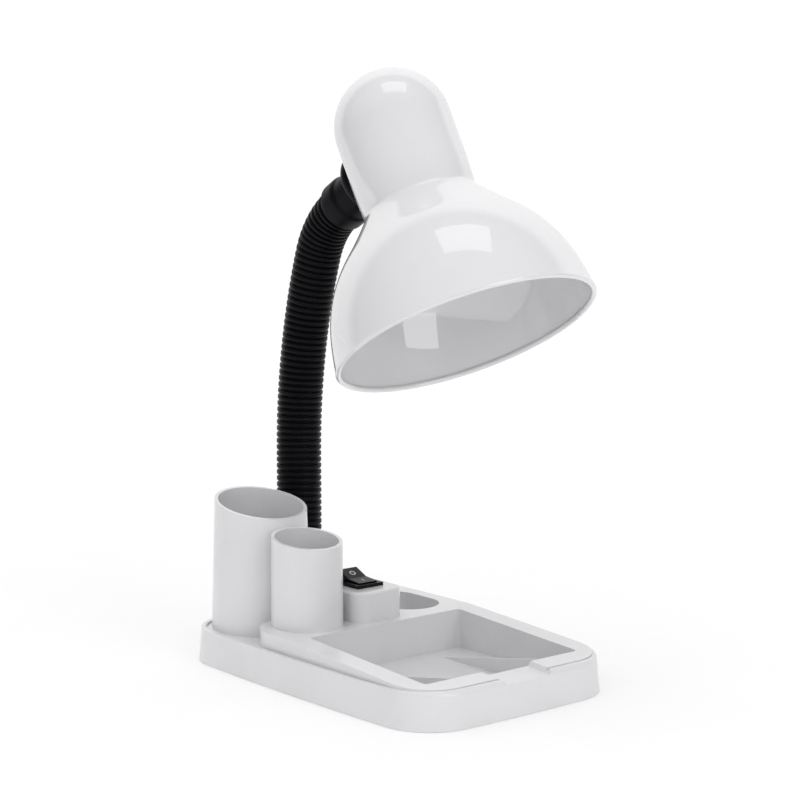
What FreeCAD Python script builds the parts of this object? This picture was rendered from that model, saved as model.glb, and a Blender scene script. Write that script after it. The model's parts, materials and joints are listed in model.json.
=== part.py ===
# Desk lamp on an organiser base: cups, memo tray and clip well in one white moulding,
# a rocker switch, a ribbed flexible neck and a bell shade that swivels on its rosette.
# Millimetres, X to the right, Y to the back, Z up, origin under the middle of the base.
import FreeCAD
import Part
import Sketcher
import math
import os

os.makedirs("parts", exist_ok=True)
doc = FreeCAD.newDocument("desk_lamp")
Vector = FreeCAD.Vector
Rotation = FreeCAD.Rotation
Placement = FreeCAD.Placement
X_AXIS = Vector(1, 0, 0)
Z_AXIS = Vector(0, 0, 1)
DOWNWARD_X = Vector(-1, 0, 0)

# Driving dimensions: lengths in millimetres, angles in degrees, the rest shares.
SIZES = [
    ("base_width", 118.0), ("base_length", 177.5), ("corner_radius", 24.7), ("bow_angle", 2.3),
    ("lean_share", 0.08), ("shell_wall", 2.2), ("shell_foot", 0.3), ("ledge_height", 15.75),
    ("groove_floor", 14.9), ("lip_width", 2.0), ("deck_height", 22.6), ("slope_share", 0.0605),
    ("slope_back", 79.25), ("rim_round", 3.0), ("tier_side_edge", 4.6), ("tier_front_edge", 4.75),
    ("tier_radius", 20.0), ("tier_back", 46.25), ("tier_back_radius", 22.0), ("recess_end", 8.5),
    ("ramp_over", 6.25), ("ramp_length", 50.0), ("ramp_rise", 1.25),
    ("tray_half", 43.9), ("tray_back", 83.75), ("tray_edge", 15.35), ("tray_floor", 4.15),
    ("tray_skin", 1.6), ("tray_round", 2.0), ("notch_half", 15.6), ("notch_foot", 12.6),
    ("notch_depth", 1.9), ("notch_middle", 1.5), ("rib_offset", 24.7), ("rib_thick", 1.6),
    ("rib_inset", 10.4), ("rib_rise", 12.4),
    ("well_x", 33.5), ("well_radius", 14.0), ("well_back", 32.35), ("well_length", 42.0),
    ("well_floor", 6.0),
    ("big_cup_x", 28.3), ("big_cup_back", 26.45), ("big_cup_foot", 23.2), ("big_cup_rim", 21.4),
    ("big_cup_top", 73.2), ("big_cup_slant", 0.215),
    ("small_cup_x", 29.9), ("small_cup_back", 63.85), ("small_cup_foot", 16.4), ("small_cup_rim", 16.1),
    ("small_cup_top", 62.15), ("small_cup_slant", 0.158), ("cup_wall", 1.6),
    ("boss_x", 1.5), ("boss_width", 28.0), ("boss_back", 43.25), ("boss_depth", 36.0),
    ("boss_top", 36.3), ("boss_round", 7.0), ("boss_edge", 1.2),
    ("post_radius", 3.2), ("pilot_radius", 1.35), ("post_front_side", 19.0),
    ("post_front_edge", 8.15), ("post_back_side", 12.4), ("post_back", 13.35),
    ("plate_foot", 1.0), ("plate_thick", 1.2), ("plate_gap", 2.6), ("screw_shank", 1.3),
    ("screw_length", 9.0), ("screw_head", 2.3), ("screw_head_high", 0.9),
    ("foot_radius", 6.0), ("foot_side", 21.0), ("foot_front_edge", 26.75), ("foot_back", 20.75),
    ("weight_width", 46.0), ("weight_length", 50.0), ("weight_thick", 6.5),
    ("weight_x", 42.0), ("weight_back", 30.75),
    ("inlet_x", 30.0), ("inlet_z", 7.6), ("inlet_radius", 4.0), ("inlet_bore", 2.6),
    ("inlet_flange", 5.6), ("inlet_sink", 0.45), ("inlet_flange_thick", 1.3), ("inlet_depth", 4.4),
    ("switch_x", 1.5), ("switch_back", 60.05), ("bezel_width", 15.0), ("bezel_length", 21.0),
    ("bezel_thick", 1.6), ("switch_body_width", 12.6), ("switch_body_length", 18.8),
    ("switch_depth", 13.0), ("switch_wall", 0.9), ("mouth_length", 18.4), ("mouth_width", 10.8),
    ("rocker_width", 10.2), ("rocker_top_half", 7.8), ("rocker_foot_half", 8.4),
    ("rocker_end", 4.6), ("rocker_middle", 3.3), ("rocker_skirt", 1.0), ("rocker_keel", 3.2),
    ("rocker_tilt", 15.0), ("rocker_pin", 1.2), ("rocker_pin_reach", 0.9), ("pivot_height", 36.1),
    ("mark_depth", 0.35), ("mark_radius", 1.5), ("mark_line", 0.45), ("mark_bar", 3.0),
    ("plunger_radius", 1.0), ("plunger_length", 4.8), ("spring_coil", 0.9), ("spring_wire", 0.14),
    ("lever_length", 11.0), ("lever_width", 4.2), ("lever_thick", 0.5), ("lever_drop", 9.8),
    ("lever_tilt", 6.0), ("blade_width", 4.8), ("blade_thick", 0.8), ("blade_drop", 8.0),
    ("blade_spread", 4.8), ("fit_gap", 0.05), ("body_gap", 0.3),
    ("neck_x", 4.0), ("neck_back", 13.21), ("neck_foot", 24.6), ("bend_start", 92.52),
    ("low_bend_radius", 289.9), ("low_bend_angle", 19.06), ("top_bend_radius", 40.47),
    ("rib_pitch", 2.93), ("joint_slack", 0.3), ("crest_radius", 10.7), ("groove_radius", 9.35),
    ("hose_bore", 7.6), ("crest_share", 0.5), ("flank_share", 0.1),
    ("core_radius", 6.2), ("core_bore", 1.8), ("ball_radius", 5.2), ("socket_clearance", 0.1),
    ("stem_radius", 3.0), ("socket_lip", 1.0), ("shoulder_drop", 4.4),
    ("band_radius", 7.5), ("band_width", 4.0),
    ("thread_radius", 5.0), ("thread_foot", 9.0), ("nut_across", 14.0), ("nut_thick", 5.0),
    ("washer_radius", 9.0), ("washer_thick", 1.2), ("ferrule_radius", 11.6), ("ferrule_high", 4.6),
    ("ferrule_floor", 1.7), ("ferrule_bore", 10.95),
    ("stub_reach", 49.275), ("stub_offset", 0.299), ("shade_tilt", 29.04), ("bead_out", 0.8),
    ("bell_radius", 58.1), ("bell_curve", 72.7), ("bell_straight", 48.0),
    ("shade_neck", 26.3), ("dome_rise", 16.4), ("shade_wall", 1.2), ("bead_radius", 1.2),
    ("stub_height", 88.8), ("stub_hole", 5.1),
    ("rosette_radius", 16.0), ("rosette_face", 30.2), ("rosette_edge", 27.4),
    ("rosette_hub", 9.0), ("collar_start", 30.5), ("collar_step", 40.0), ("collar_end", 49.4),
    ("collar_flare", 1.0), ("collar_slim", 10.9), ("collar_wide", 11.9),
    ("collar_chamber", 7.6), ("chamber_start", 43.7),
    ("pin_radius", 5.0), ("pin_clearance", 0.08), ("pin_bore", 3.0), ("pin_end", 18.6),
    ("pin_head", 7.0), ("pin_head_start", 44.3), ("pin_head_thick", 1.7), ("friction_radius", 7.2),
    ("friction_thick", 0.5), ("saddle_radius", 8.5), ("saddle_start", 22.6),
    ("thin_nut_across", 14.0), ("thin_nut_thick", 2.5),
    ("strap_width", 15.0), ("strap_thick", 1.2), ("strap_drop", 8.8), ("bend_rise", 15.2),
    ("strap_rise", 24.4), ("strap_inner", 12.0), ("strap_tail", 6.0),
    ("mouth_drop", 14.8), ("holder_shoulder", 9.2), ("holder_rise", 24.3),
    ("holder_radius", 18.2), ("holder_crown", 11.5), ("holder_bore", 14.6), ("floor_rise", 14.2),
    ("lamp_thread", 13.35), ("lamp_thread_outer", 14.3), ("thread_pitch", 3.6),
    ("thread_depth", 0.8), ("thread_drop", 11.8), ("thread_floor", 0.9),
    ("contact_radius", 3.5), ("contact_high", 1.6),
    ("fixing_head", 3.6), ("fixing_head_high", 2.2), ("fixing_shank", 1.9), ("fixing_depth", 7.0),
    ("lead_radius", 1.2), ("channel_width", 5.0), ("channel_depth", 3.0),
]

sheet = doc.addObject("Spreadsheet::Sheet", "dims")
for row, (alias, number) in enumerate(SIZES, start=1):
    sheet.set("A%d" % row, alias)
    sheet.set("B%d" % row, str(number))
    sheet.setAlias("B%d" % row, alias)
doc.recompute()


def size(alias):
    """Value of one cell of the table."""
    return float(sheet.get(alias))


def worked(text):
    """Value of an expression on the table, as a plain number."""
    found = sheet.evalExpression(text)
    return float(getattr(found, "Value", found))


# Places that follow other sizes. The works at the rear keep their distance to the back end,
# and the shade hangs on the end of the neck.
BACK = "dims.base_length / 2"
NECK_Y = BACK + " - dims.neck_back"
SWITCH_Y = BACK + " - dims.switch_back"
FIRST = "dims.low_bend_angle"
TILT = "dims.shade_tilt"
NECK_END_Y = (NECK_Y + " - dims.low_bend_radius * (1 - cos(" + FIRST + "))"
              " - dims.top_bend_radius * (cos(" + FIRST + ") - sin(" + TILT + "))")
NECK_END_Z = ("dims.bend_start + dims.low_bend_radius * sin(" + FIRST + ")"
              " + dims.top_bend_radius * (cos(" + TILT + ") - sin(" + FIRST + "))")
STUB_Y = NECK_END_Y + " - dims.stub_reach * cos(" + TILT + ") + dims.stub_offset * sin(" + TILT + ")"
STUB_Z = NECK_END_Z + " + dims.stub_reach * sin(" + TILT + ") + dims.stub_offset * cos(" + TILT + ")"
RIM_Y = STUB_Y + " - dims.stub_height * sin(" + TILT + ")"
RIM_Z = STUB_Z + " - dims.stub_height * cos(" + TILT + ")"
QUARTER = 90


def behind(name):
    """Y of a place that keeps its distance to the back end."""
    return size("base_length") / 2 - size(name)


def ahead(name):
    """Y of a place that keeps its distance to the front end."""
    return size(name) - size("base_length") / 2


def put(thing, x="0", y="0", z="0"):
    """Tie the position of an object to the table."""
    thing.setExpression("Placement.Base.x", x)
    thing.setExpression("Placement.Base.y", y)
    thing.setExpression("Placement.Base.z", z)
    return thing


def make_box(name, length, width, height, x, y, z):
    """Box with its low corner at x, y, z; every entry is an expression."""
    box = doc.addObject("Part::Box", name)
    box.setExpression("Length", length)
    box.setExpression("Width", width)
    box.setExpression("Height", height)
    return put(box, x, y, z)


def make_rod(name, radius, height, x, y, z):
    """Upright cylinder; every entry is an expression."""
    rod = doc.addObject("Part::Cylinder", name)
    rod.setExpression("Radius", radius)
    rod.setExpression("Height", height)
    return put(rod, x, y, z)


def make_prism(name, across, height, x, y, z):
    """Upright hexagonal prism for a nut, measured across flats."""
    prism = doc.addObject("Part::Prism", name)
    prism.Polygon = 6
    prism.setExpression("Circumradius", "(%s) / sqrt(3)" % across)
    prism.setExpression("Height", height)
    return put(prism, x, y, z)


def cut_from(name, base, tools):
    """Base with the tools taken away."""
    tool = tools[0]
    if len(tools) > 1:
        tool = doc.addObject("Part::MultiFuse", name + "_tools")
        tool.Shapes = tools
    result = doc.addObject("Part::Cut", name)
    result.Base = base
    result.Tool = tool
    return result


def join(name, pieces):
    """One solid from touching pieces."""
    result = doc.addObject("Part::MultiFuse", name)
    result.Shapes = pieces
    return result


def group(name, pieces):
    """Like pieces that share one node."""
    result = doc.addObject("Part::Compound", name)
    result.Links = pieces
    return result


def draw_profile(body, name, role, corners):
    """Closed outline on an origin plane, each corner tied to two expressions."""
    plane = [item for item in body.Origin.OriginFeatures if item.Role == role][0]
    sketch = body.newObject("Sketcher::SketchObject", name)
    sketch.AttachmentSupport = (plane, [""])
    sketch.MapMode = "FlatFace"
    spots = [Vector(worked(a), worked(b), 0) for a, b in corners]
    count = len(corners)
    for k in range(count):
        sketch.addGeometry(Part.LineSegment(spots[k], spots[(k + 1) % count]), False)
    for k in range(count):
        sketch.addConstraint(Sketcher.Constraint("Coincident", k, 2, (k + 1) % count, 1))
    for k, (across, along) in enumerate(corners):
        for kind, text, axis in (("DistanceX", across, -2), ("DistanceY", along, -1)):
            if text == "0":
                sketch.addConstraint(Sketcher.Constraint("PointOnObject", k, 1, axis))
            else:
                rule = Sketcher.Constraint(kind, -1, 1, k, 1, worked(text))
                number = sketch.addConstraint(rule)
                sketch.setExpression("Constraints[%d]" % number, text)
    return sketch


def turned(name, corners):
    """Body of revolution about its own Z axis from (radius, height) corners."""
    body = doc.addObject("PartDesign::Body", name)
    sketch = draw_profile(body, name + "_profile", "XZ_Plane", corners)
    turn = body.newObject("PartDesign::Revolution", name + "_turn")
    turn.Profile = sketch
    turn.ReferenceAxis = (sketch, ["V_Axis"])
    turn.Angle = 360.0
    body.Tip = turn
    return body


def padded(name, corners, role, depth):
    """Straight body from an outline, half of its depth to each side."""
    body = doc.addObject("PartDesign::Body", name)
    sketch = draw_profile(body, name + "_profile", role, corners)
    pad = body.newObject("PartDesign::Pad", name + "_pad")
    pad.Profile = sketch
    pad.setExpression("Length", depth)
    pad.Midplane = True
    body.Tip = pad
    return body


def plain(name, shape):
    """Object for a lofted or swept form."""
    feature = doc.addObject("Part::Feature", name)
    feature.Shape = shape
    return feature


# Outline of the base: bowed sides that run smoothly into round corners.

def outline(inset, height):
    """Closed wire of the base's plan, drawn in by inset, at a height."""
    bow = math.radians(size("bow_angle"))
    radius = size("corner_radius") - inset
    half_x = size("base_width") / 2 - inset
    half_y = size("base_length") / 2 - inset
    sag = math.tan(bow / 2)
    reach = radius * math.cos(bow)
    drift = radius * math.sin(bow) * sag
    known_x = half_x - reach - drift
    known_y = half_y - reach - drift
    centre_x = (known_x - sag * known_y) / (1 - sag * sag)
    centre_y = known_y - sag * centre_x
    edges = []
    turns = [(1, 1), (-1, 1), (-1, -1), (1, -1)]
    arcs = []
    for number, (side_x, side_y) in enumerate(turns):
        start = number * QUARTER
        centre = Vector(side_x * centre_x, side_y * centre_y, height)
        spots = []
        for angle in (start + size("bow_angle"), start + QUARTER / 2, start + QUARTER - size("bow_angle")):
            turn = math.radians(angle)
            spots.append(centre + Vector(radius * math.cos(turn), radius * math.sin(turn), 0))
        arcs.append(spots)
    middles = [Vector(0, half_y, height), Vector(-half_x, 0, height),
               Vector(0, -half_y, height), Vector(half_x, 0, height)]
    for k in range(4):
        edges.append(Part.Arc(*arcs[k]).toShape())
        edges.append(Part.Arc(arcs[k][2], middles[k], arcs[(k + 1) % 4][0]).toShape())
    return Part.Wire(edges)


def leaning_block(inset, low, high):
    """Solid of the base's plan whose walls lean inward as they rise."""
    foot = outline(inset + size("lean_share") * (low - size("shell_foot")), low)
    head = outline(inset + size("lean_share") * (high - size("shell_foot")), high)
    return Part.makeLoft([foot, head], True, True)


def side_prism(profile, half):
    """Prism along X from (y, z) corners."""
    wire = Part.makePolygon([Vector(-half, y, z) for y, z in profile + profile[:1]])
    return Part.Face(wire).extrude(Vector(2 * half, 0, 0))


def above_deck(drop):
    """Everything above the deck surface lowered by drop."""
    far = size("base_length")
    level = size("deck_height") - drop
    start = behind("slope_back")
    low = level - size("slope_share") * (far + start)
    profile = [(far, level), (start, level), (-far, low), (-far, far), (far, far)]
    return side_prism(profile, far)


def above_ramp(level):
    """Everything above a ledge that climbs to the deck round the front corners."""
    far = size("base_length")
    end = -far / 2 - size("ramp_over")
    profile = [(far, level), (end + size("ramp_length"), level),
               (end, level + size("ramp_rise")), (end, far), (far, far)]
    return side_prism(profile, far)


def tier_plan(inset):
    """Plan of the upper tier, drawn in by inset: round front corners and a cut-away back corner."""
    side = size("base_width") / 2 - size("tier_side_edge") - inset
    front = -ahead("tier_front_edge") - inset
    back = behind("tier_back") - inset
    far = size("base_length") / 2 + size("corner_radius")
    near = size("tier_radius") - inset
    wide = size("tier_back_radius") - inset
    end = size("recess_end") - inset
    half = math.sqrt(0.5)
    spots = [Vector(side, far, 0), Vector(side, -front + near, 0),
             Vector(side - near, -front, 0), Vector(-side + near, -front, 0),
             Vector(-side, -front + near, 0), Vector(-side, back - wide, 0),
             Vector(-side + wide, back, 0), Vector(-end, back, 0), Vector(-end, far, 0)]
    mid_right = Vector(side - near + near * half, -front + near - near * half, 0)
    mid_left = Vector(-side + near - near * half, -front + near - near * half, 0)
    mid_back = Vector(-side + wide - wide * half, back - wide + wide * half, 0)
    edges = [Part.makeLine(spots[0], spots[1]), Part.Arc(spots[1], mid_right, spots[2]).toShape(),
             Part.makeLine(spots[2], spots[3]), Part.Arc(spots[3], mid_left, spots[4]).toShape(),
             Part.makeLine(spots[4], spots[5]), Part.Arc(spots[5], mid_back, spots[6]).toShape(),
             Part.makeLine(spots[6], spots[7]), Part.makeLine(spots[7], spots[8]),
             Part.makeLine(spots[8], spots[0])]
    return Part.Wire(edges)


def tier_prism(inset, low, high):
    """Upright prism of the upper tier."""
    wire = tier_plan(inset)
    wire.translate(Vector(0, 0, low))
    return Part.Face(wire).extrude(Vector(0, 0, high - low))


def round_block(x_low, x_high, y_low, y_high, low, high, radius):
    """Upright block with rounded vertical edges."""
    block = Part.makeBox(x_high - x_low, y_high - y_low, high - low, Vector(x_low, y_low, low))
    upright = [e for e in block.Edges if abs(e.BoundBox.ZLength - (high - low)) < radius * 0.01]
    return block.makeFillet(radius, upright)


def tray_block(grow, low, high):
    """Block of the memo tray's hollow, grown by a wall."""
    return round_block(-size("tray_half") - grow, size("tray_half") + grow,
                       ahead("tray_edge") - grow, behind("tray_back") + grow,
                       low, high, size("tray_round") + grow)


def well_block(grow, low, high):
    """Round-ended block of the clip well, grown by a wall."""
    radius = size("well_radius") + grow
    back = behind("well_back") - size("well_radius")
    front = back - size("well_length") + 2 * size("well_radius")
    ends = Part.makeCylinder(radius, high - low, Vector(size("well_x"), front, low))
    ends = ends.fuse(Part.makeCylinder(radius, high - low, Vector(size("well_x"), back, low)))
    middle = Part.makeBox(2 * radius, back - front, high - low,
                          Vector(size("well_x") - radius, front, low))
    return ends.fuse(middle).removeSplitter()


def boss_block(shrink, low, high):
    """Block under the switch, drawn in by a wall."""
    half = size("boss_width") / 2 - shrink
    back = behind("boss_back")
    return round_block(size("boss_x") - half, size("boss_x") + half, back - size("boss_depth") + shrink,
                       back - shrink, low, high, size("boss_round") - shrink)


def cup_wall_solid(which, floor):
    """Tapered cup wall with its rim cut on a slant that falls to the front."""
    x = -size(which + "_x")
    y = behind(which + "_back")
    foot = size(which + "_foot")
    rim = size(which + "_rim")
    tall = size(which + "_top") + foot
    taper = (foot - rim) / (size(which + "_top") - floor)
    cone = Part.makeCone(foot, foot - taper * (tall - floor), tall - floor, Vector(x, y, floor))
    reach = 2 * foot
    slant = size(which + "_slant")
    top = size(which + "_top")
    profile = [(y - reach, top - slant * reach), (y + reach, top + slant * reach),
               (y + reach, 3 * top), (y - reach, 3 * top)]
    return cone.cut(side_prism(profile, 2 * foot + abs(x)))


def cup_bore(which, floor):
    """Hollow of a cup, open above its rim."""
    x = -size(which + "_x")
    y = behind(which + "_back")
    wall = size("cup_wall")
    foot = size(which + "_foot") - wall
    rim = size(which + "_rim") - wall
    tall = size(which + "_top") + size(which + "_foot")
    taper = (foot - rim) / (size(which + "_top") - floor)
    return Part.makeCone(foot, foot - taper * (tall - floor), tall - floor, Vector(x, y, floor))


def post_places():
    """Centres of the four screw posts."""
    front_x = size("base_width") / 2 - size("post_front_side")
    front_y = ahead("post_front_edge")
    back_x = size("base_width") / 2 - size("post_back_side")
    back_y = behind("post_back")
    return [(front_x, front_y), (-front_x, front_y), (back_x, back_y), (-back_x, back_y)]


def rounded_deck():
    """Leaning block cut to the deck surface, its sloping rim rounded outside."""
    body = leaning_block(0, size("shell_foot"), size("boss_top")).cut(above_deck(0))
    deck_edges = []
    for edge in body.Edges:
        box = edge.BoundBox
        on_top = box.ZMin > size("ledge_height") and box.YMax < behind("slope_back") + size("fit_gap")
        crease = edge.Curve.TypeId == "Part::GeomLine" and box.YLength < size("fit_gap")
        if on_top and not crease:
            deck_edges.append(edge)
    return body.makeFillet(size("rim_round"), deck_edges)


def shell_outside():
    """Outer form of the moulding with its ledge, lip, groove and recess."""
    high = 3 * size("big_cup_top")
    low = size("shell_foot")
    body = rounded_deck()
    tier = tier_prism(0, low, high)
    body = body.cut(above_ramp(size("ledge_height")).cut(tier))
    lip = size("lip_width") + size("lean_share") * size("ledge_height")
    inner = Part.Face(outline(lip, low)).extrude(Vector(0, 0, high))
    groove = above_ramp(size("groove_floor")).common(inner).cut(tier)
    body = body.cut(groove)
    boss = boss_block(0, size("ledge_height"), size("boss_top"))
    top_edges = [e for e in boss.Edges if e.BoundBox.ZMin > size("boss_top") - size("fit_gap")]
    body = body.fuse(boss.makeFillet(size("boss_edge"), top_edges))
    body = body.fuse(cup_wall_solid("big_cup", size("groove_floor")))
    return body.fuse(cup_wall_solid("small_cup", size("groove_floor")))


def shell_hollow():
    """Room under the moulding for the works, clear of tray and well walls."""
    wall = size("shell_wall")
    low = size("shell_foot")
    inside = leaning_block(wall, low, size("boss_top")).cut(above_deck(wall))
    under_ledge = leaning_block(wall, low, size("groove_floor") - wall)
    under_deck = inside.common(tier_prism(wall, low, size("boss_top")))
    hollow = under_ledge.fuse(under_deck)
    hollow = hollow.fuse(boss_block(wall, size("groove_floor") - wall, size("boss_top") - wall))
    tray = tray_block(wall, size("tray_floor") - size("tray_skin"), size("boss_top"))
    hollow = hollow.cut(tray)
    return hollow.cut(well_block(wall, size("well_floor") - wall, size("boss_top")))


def finger_notch():
    """Shallow wedge-sided notch through the front rim."""
    edge = ahead("tray_edge")
    level = size("deck_height") - size("slope_share") * (behind("slope_back") - edge)
    depth = size("notch_depth")
    wide = size("notch_half")
    narrow = size("notch_foot")
    middle = size("notch_middle")
    front = -size("base_length")
    back = edge + size("tray_round")
    fall = size("slope_share")
    corners = [(-narrow, -depth), (narrow, -depth), (wide, depth), (-wide, depth)]
    wires = []
    for y in (front, back):
        drop = level + fall * (y - edge)
        wires.append(Part.makePolygon([Vector(middle + a, y, drop + b)
                                       for a, b in corners + corners[:1]]))
    return Part.makeLoft(wires, True, True)


def tray_ribs():
    """Two wedges that rise from the tray floor to the notch, so that a card slides out."""
    ribs = []
    thick = size("rib_thick")
    floor = size("tray_floor")
    start = behind("tray_back") - size("rib_inset")
    front = ahead("tray_edge") - size("fit_gap")
    for side in (-1, 1):
        x = size("notch_middle") + side * size("rib_offset")
        profile = [(start, floor), (front, floor + size("rib_rise")), (front, floor - size("fit_gap")),
                   (start, floor - size("fit_gap"))]
        rib = side_prism(profile, thick / 2)
        rib.translate(Vector(x, 0, 0))
        ribs.append(rib)
    return ribs


def build_shell():
    """The one-piece moulding of the base."""
    low = size("shell_foot")
    body = shell_outside()
    hollow = shell_hollow()
    ceiling = hollow.copy()
    body = body.cut(hollow)
    body = body.cut(tray_block(0, size("tray_floor"), size("boss_top")))
    body = body.cut(well_block(0, size("well_floor"), size("boss_top")))
    body = body.cut(finger_notch())
    for rib in tray_ribs():
        body = body.fuse(rib)
    post_foot = size("plate_foot") + size("plate_thick")
    for x, y in post_places():
        post = Part.makeCylinder(size("post_radius"), size("boss_top"), Vector(x, y, post_foot))
        body = body.fuse(post.common(ceiling))
        body = body.cut(Part.makeCylinder(size("pilot_radius"), size("screw_length") + size("body_gap"),
                                          Vector(x, y, low)))
    body = body.cut(cup_bore("big_cup", size("groove_floor")))
    body = body.cut(cup_bore("small_cup", size("deck_height")))
    gap = size("fit_gap")
    body_x = size("switch_body_width") / 2 + gap
    body_y = size("switch_body_length") / 2 + gap
    body = body.cut(Part.makeBox(2 * body_x, 2 * body_y, size("boss_top"),
                                 Vector(size("switch_x") - body_x, behind("switch_back") - body_y,
                                        size("boss_top") - 2 * size("shell_wall"))))
    body = body.cut(Part.makeCylinder(size("thread_radius") + 2 * gap, size("boss_top"),
                                      Vector(size("neck_x"), behind("neck_back"),
                                             size("groove_floor") - size("shell_wall"))))
    body = body.cut(Part.makeCylinder(size("inlet_radius") + gap, size("base_length"),
                                      Vector(size("inlet_x"), behind("neck_back"), size("inlet_z")),
                                      Vector(0, 1, 0)))
    return plain("base_shell", body.removeSplitter())


def build_bottom():
    """Bottom plate, its screws, the feet, the ballast and the cord inlet."""
    low = size("plate_foot")
    thick = size("plate_thick")
    plate = Part.Face(outline(size("plate_gap"), low)).extrude(Vector(0, 0, thick))
    sink = size("screw_head_high")
    screws = []
    for x, y in post_places():
        hole = Part.makeCylinder(size("screw_shank") + size("fit_gap"), thick, Vector(x, y, low))
        seat = Part.makeCone(size("screw_head") + size("fit_gap"), size("screw_shank") + size("fit_gap"),
                             sink, Vector(x, y, low))
        plate = plate.cut(hole).cut(seat)
        head = Part.makeCone(size("screw_head"), size("screw_shank"), sink, Vector(x, y, low))
        shank = Part.makeCylinder(size("screw_shank"), size("screw_length") - low - thick / 2,
                                  Vector(x, y, low + sink / 2))
        screws.append(head.fuse(shank))
    made = [plain("bottom_plate", plate), plain("bottom_screws", Part.makeCompound(screws))]
    pads = []
    side = "(dims.base_width / 2 - dims.foot_side)"
    front = "dims.foot_front_edge - " + BACK
    back = BACK + " - dims.foot_back"
    for name, x, y in (("front_left", "-" + side, front), ("front_right", side, front),
                       ("back_left", "-" + side, back), ("back_right", side, back)):
        pads.append(make_rod("foot_" + name, "dims.foot_radius", "dims.plate_foot", x, y, "0"))
    made.append(group("rubber_feet", pads))
    made.append(make_box("base_weight", "dims.weight_width", "dims.weight_length",
                         "dims.weight_thick", "-dims.weight_x",
                         BACK + " - dims.weight_back - dims.weight_length",
                         "dims.plate_foot + dims.plate_thick"))
    grommet = turned("cord_grommet", [
        ("dims.inlet_bore", "0"), ("dims.inlet_flange", "0"),
        ("dims.inlet_flange", "dims.inlet_flange_thick"),
        ("dims.inlet_radius", "dims.inlet_flange_thick"),
        ("dims.inlet_radius", "dims.inlet_flange_thick + dims.inlet_depth"),
        ("dims.inlet_bore", "dims.inlet_flange_thick + dims.inlet_depth")])
    grommet.Placement = Placement(Vector(0, 0, 0), Rotation(X_AXIS, 90))
    put(grommet, "dims.inlet_x", BACK + " - dims.inlet_sink + dims.inlet_flange_thick", "dims.inlet_z")
    made.append(grommet)
    return made


# Rocker switch, drawn about its pivot.

def build_switch_housing():
    """Black frame: a bezel on the boss and a box through it, open on top."""
    wide = "dims.switch_body_width"
    long = "dims.switch_body_length"
    floor = "dims.boss_top - dims.switch_depth"
    bezel = make_box("bezel_block", "dims.bezel_width", "dims.bezel_length", "dims.bezel_thick",
                     "dims.switch_x - dims.bezel_width / 2", SWITCH_Y + " - dims.bezel_length / 2",
                     "dims.boss_top")
    box = make_box("housing_block", wide, long, "dims.switch_depth",
                   "dims.switch_x - %s / 2" % wide, SWITCH_Y + " - %s / 2" % long, floor)
    mouth = make_box("housing_mouth", "dims.mouth_width", "dims.mouth_length",
                     "dims.switch_depth + dims.bezel_thick",
                     "dims.switch_x - dims.mouth_width / 2", SWITCH_Y + " - dims.mouth_length / 2",
                     "dims.boss_top - dims.switch_depth / 2")
    room = make_box("housing_room", wide + " - 2 * dims.switch_wall", long + " - 2 * dims.switch_wall",
                    "dims.switch_depth",
                    "dims.switch_x - %s / 2 + dims.switch_wall" % wide,
                    SWITCH_Y + " - %s / 2 + dims.switch_wall" % long,
                    floor + " + dims.switch_wall")
    hole = make_rod("pin_hole", "dims.rocker_pin + dims.fit_gap", wide, "0", "0", "0")
    hole.Placement = Placement(Vector(0, 0, 0), Rotation(Vector(0, 1, 0), 90))
    put(hole, "dims.switch_x - %s / 2" % wide, SWITCH_Y, "dims.pivot_height")
    slots = []
    for name, shift in (("slot_middle", ""), ("slot_back", " + dims.blade_spread")):
        slots.append(make_box(name, "dims.blade_width + 2 * dims.fit_gap",
                              "dims.blade_thick + 2 * dims.fit_gap", "3 * dims.switch_wall",
                              "dims.switch_x - dims.blade_width / 2 - dims.fit_gap",
                              SWITCH_Y + " - dims.blade_thick / 2 - dims.fit_gap" + shift,
                              floor + " - dims.switch_wall"))
    solid = join("housing_solid", [bezel, box])
    return cut_from("switch_housing", solid, [mouth, room, hole] + slots)


def rocker_marks():
    """Ring and bar sunk in the two faces of the rocker, standing square to each face."""
    rise = size("rocker_end") - size("rocker_middle")
    lean = math.degrees(math.atan2(rise, size("rocker_top_half")))
    half = size("rocker_top_half") / 2
    level = (size("rocker_end") + size("rocker_middle")) / 2
    deep = size("mark_depth")
    line = size("mark_line")
    ring = Part.makeCylinder(size("mark_radius"), 3 * deep, Vector(0, 0, -deep))
    ring = ring.cut(Part.makeCylinder(size("mark_radius") - line, 3 * deep, Vector(0, 0, -deep)))
    ring.Placement = Placement(Vector(0, half, level), Rotation(X_AXIS, lean))
    bar = Part.makeBox(line, size("mark_bar"), 3 * deep,
                       Vector(-line / 2, -size("mark_bar") / 2, -deep))
    bar.Placement = Placement(Vector(0, -half, level), Rotation(X_AXIS, -lean))
    return ring.fuse(bar)


def build_rocker():
    """Rocker in its pressed-on position: front end down, back end up."""
    top = size("rocker_top_half")
    foot = size("rocker_foot_half")
    skirt = size("rocker_skirt")
    profile = [(-foot, -skirt), (-top, size("rocker_end")), (0, size("rocker_middle")),
               (top, size("rocker_end")), (foot, -skirt), (size("plunger_radius") * 2, -skirt),
               (size("plunger_radius") * 2, -size("rocker_keel")),
               (-size("plunger_radius") * 2, -size("rocker_keel")),
               (-size("plunger_radius") * 2, -skirt)]
    body = side_prism(profile, size("rocker_width") / 2)
    reach = size("rocker_width") / 2 + size("rocker_pin_reach")
    pin = Part.makeCylinder(size("rocker_pin"), 2 * reach, Vector(-reach, 0, 0), X_AXIS)
    body = body.fuse(pin).cut(rocker_marks())
    socket = Part.makeCylinder(size("plunger_radius") + size("fit_gap"), size("rocker_keel"),
                               Vector(0, 0, -size("rocker_keel")))
    return body.cut(socket)


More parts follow.
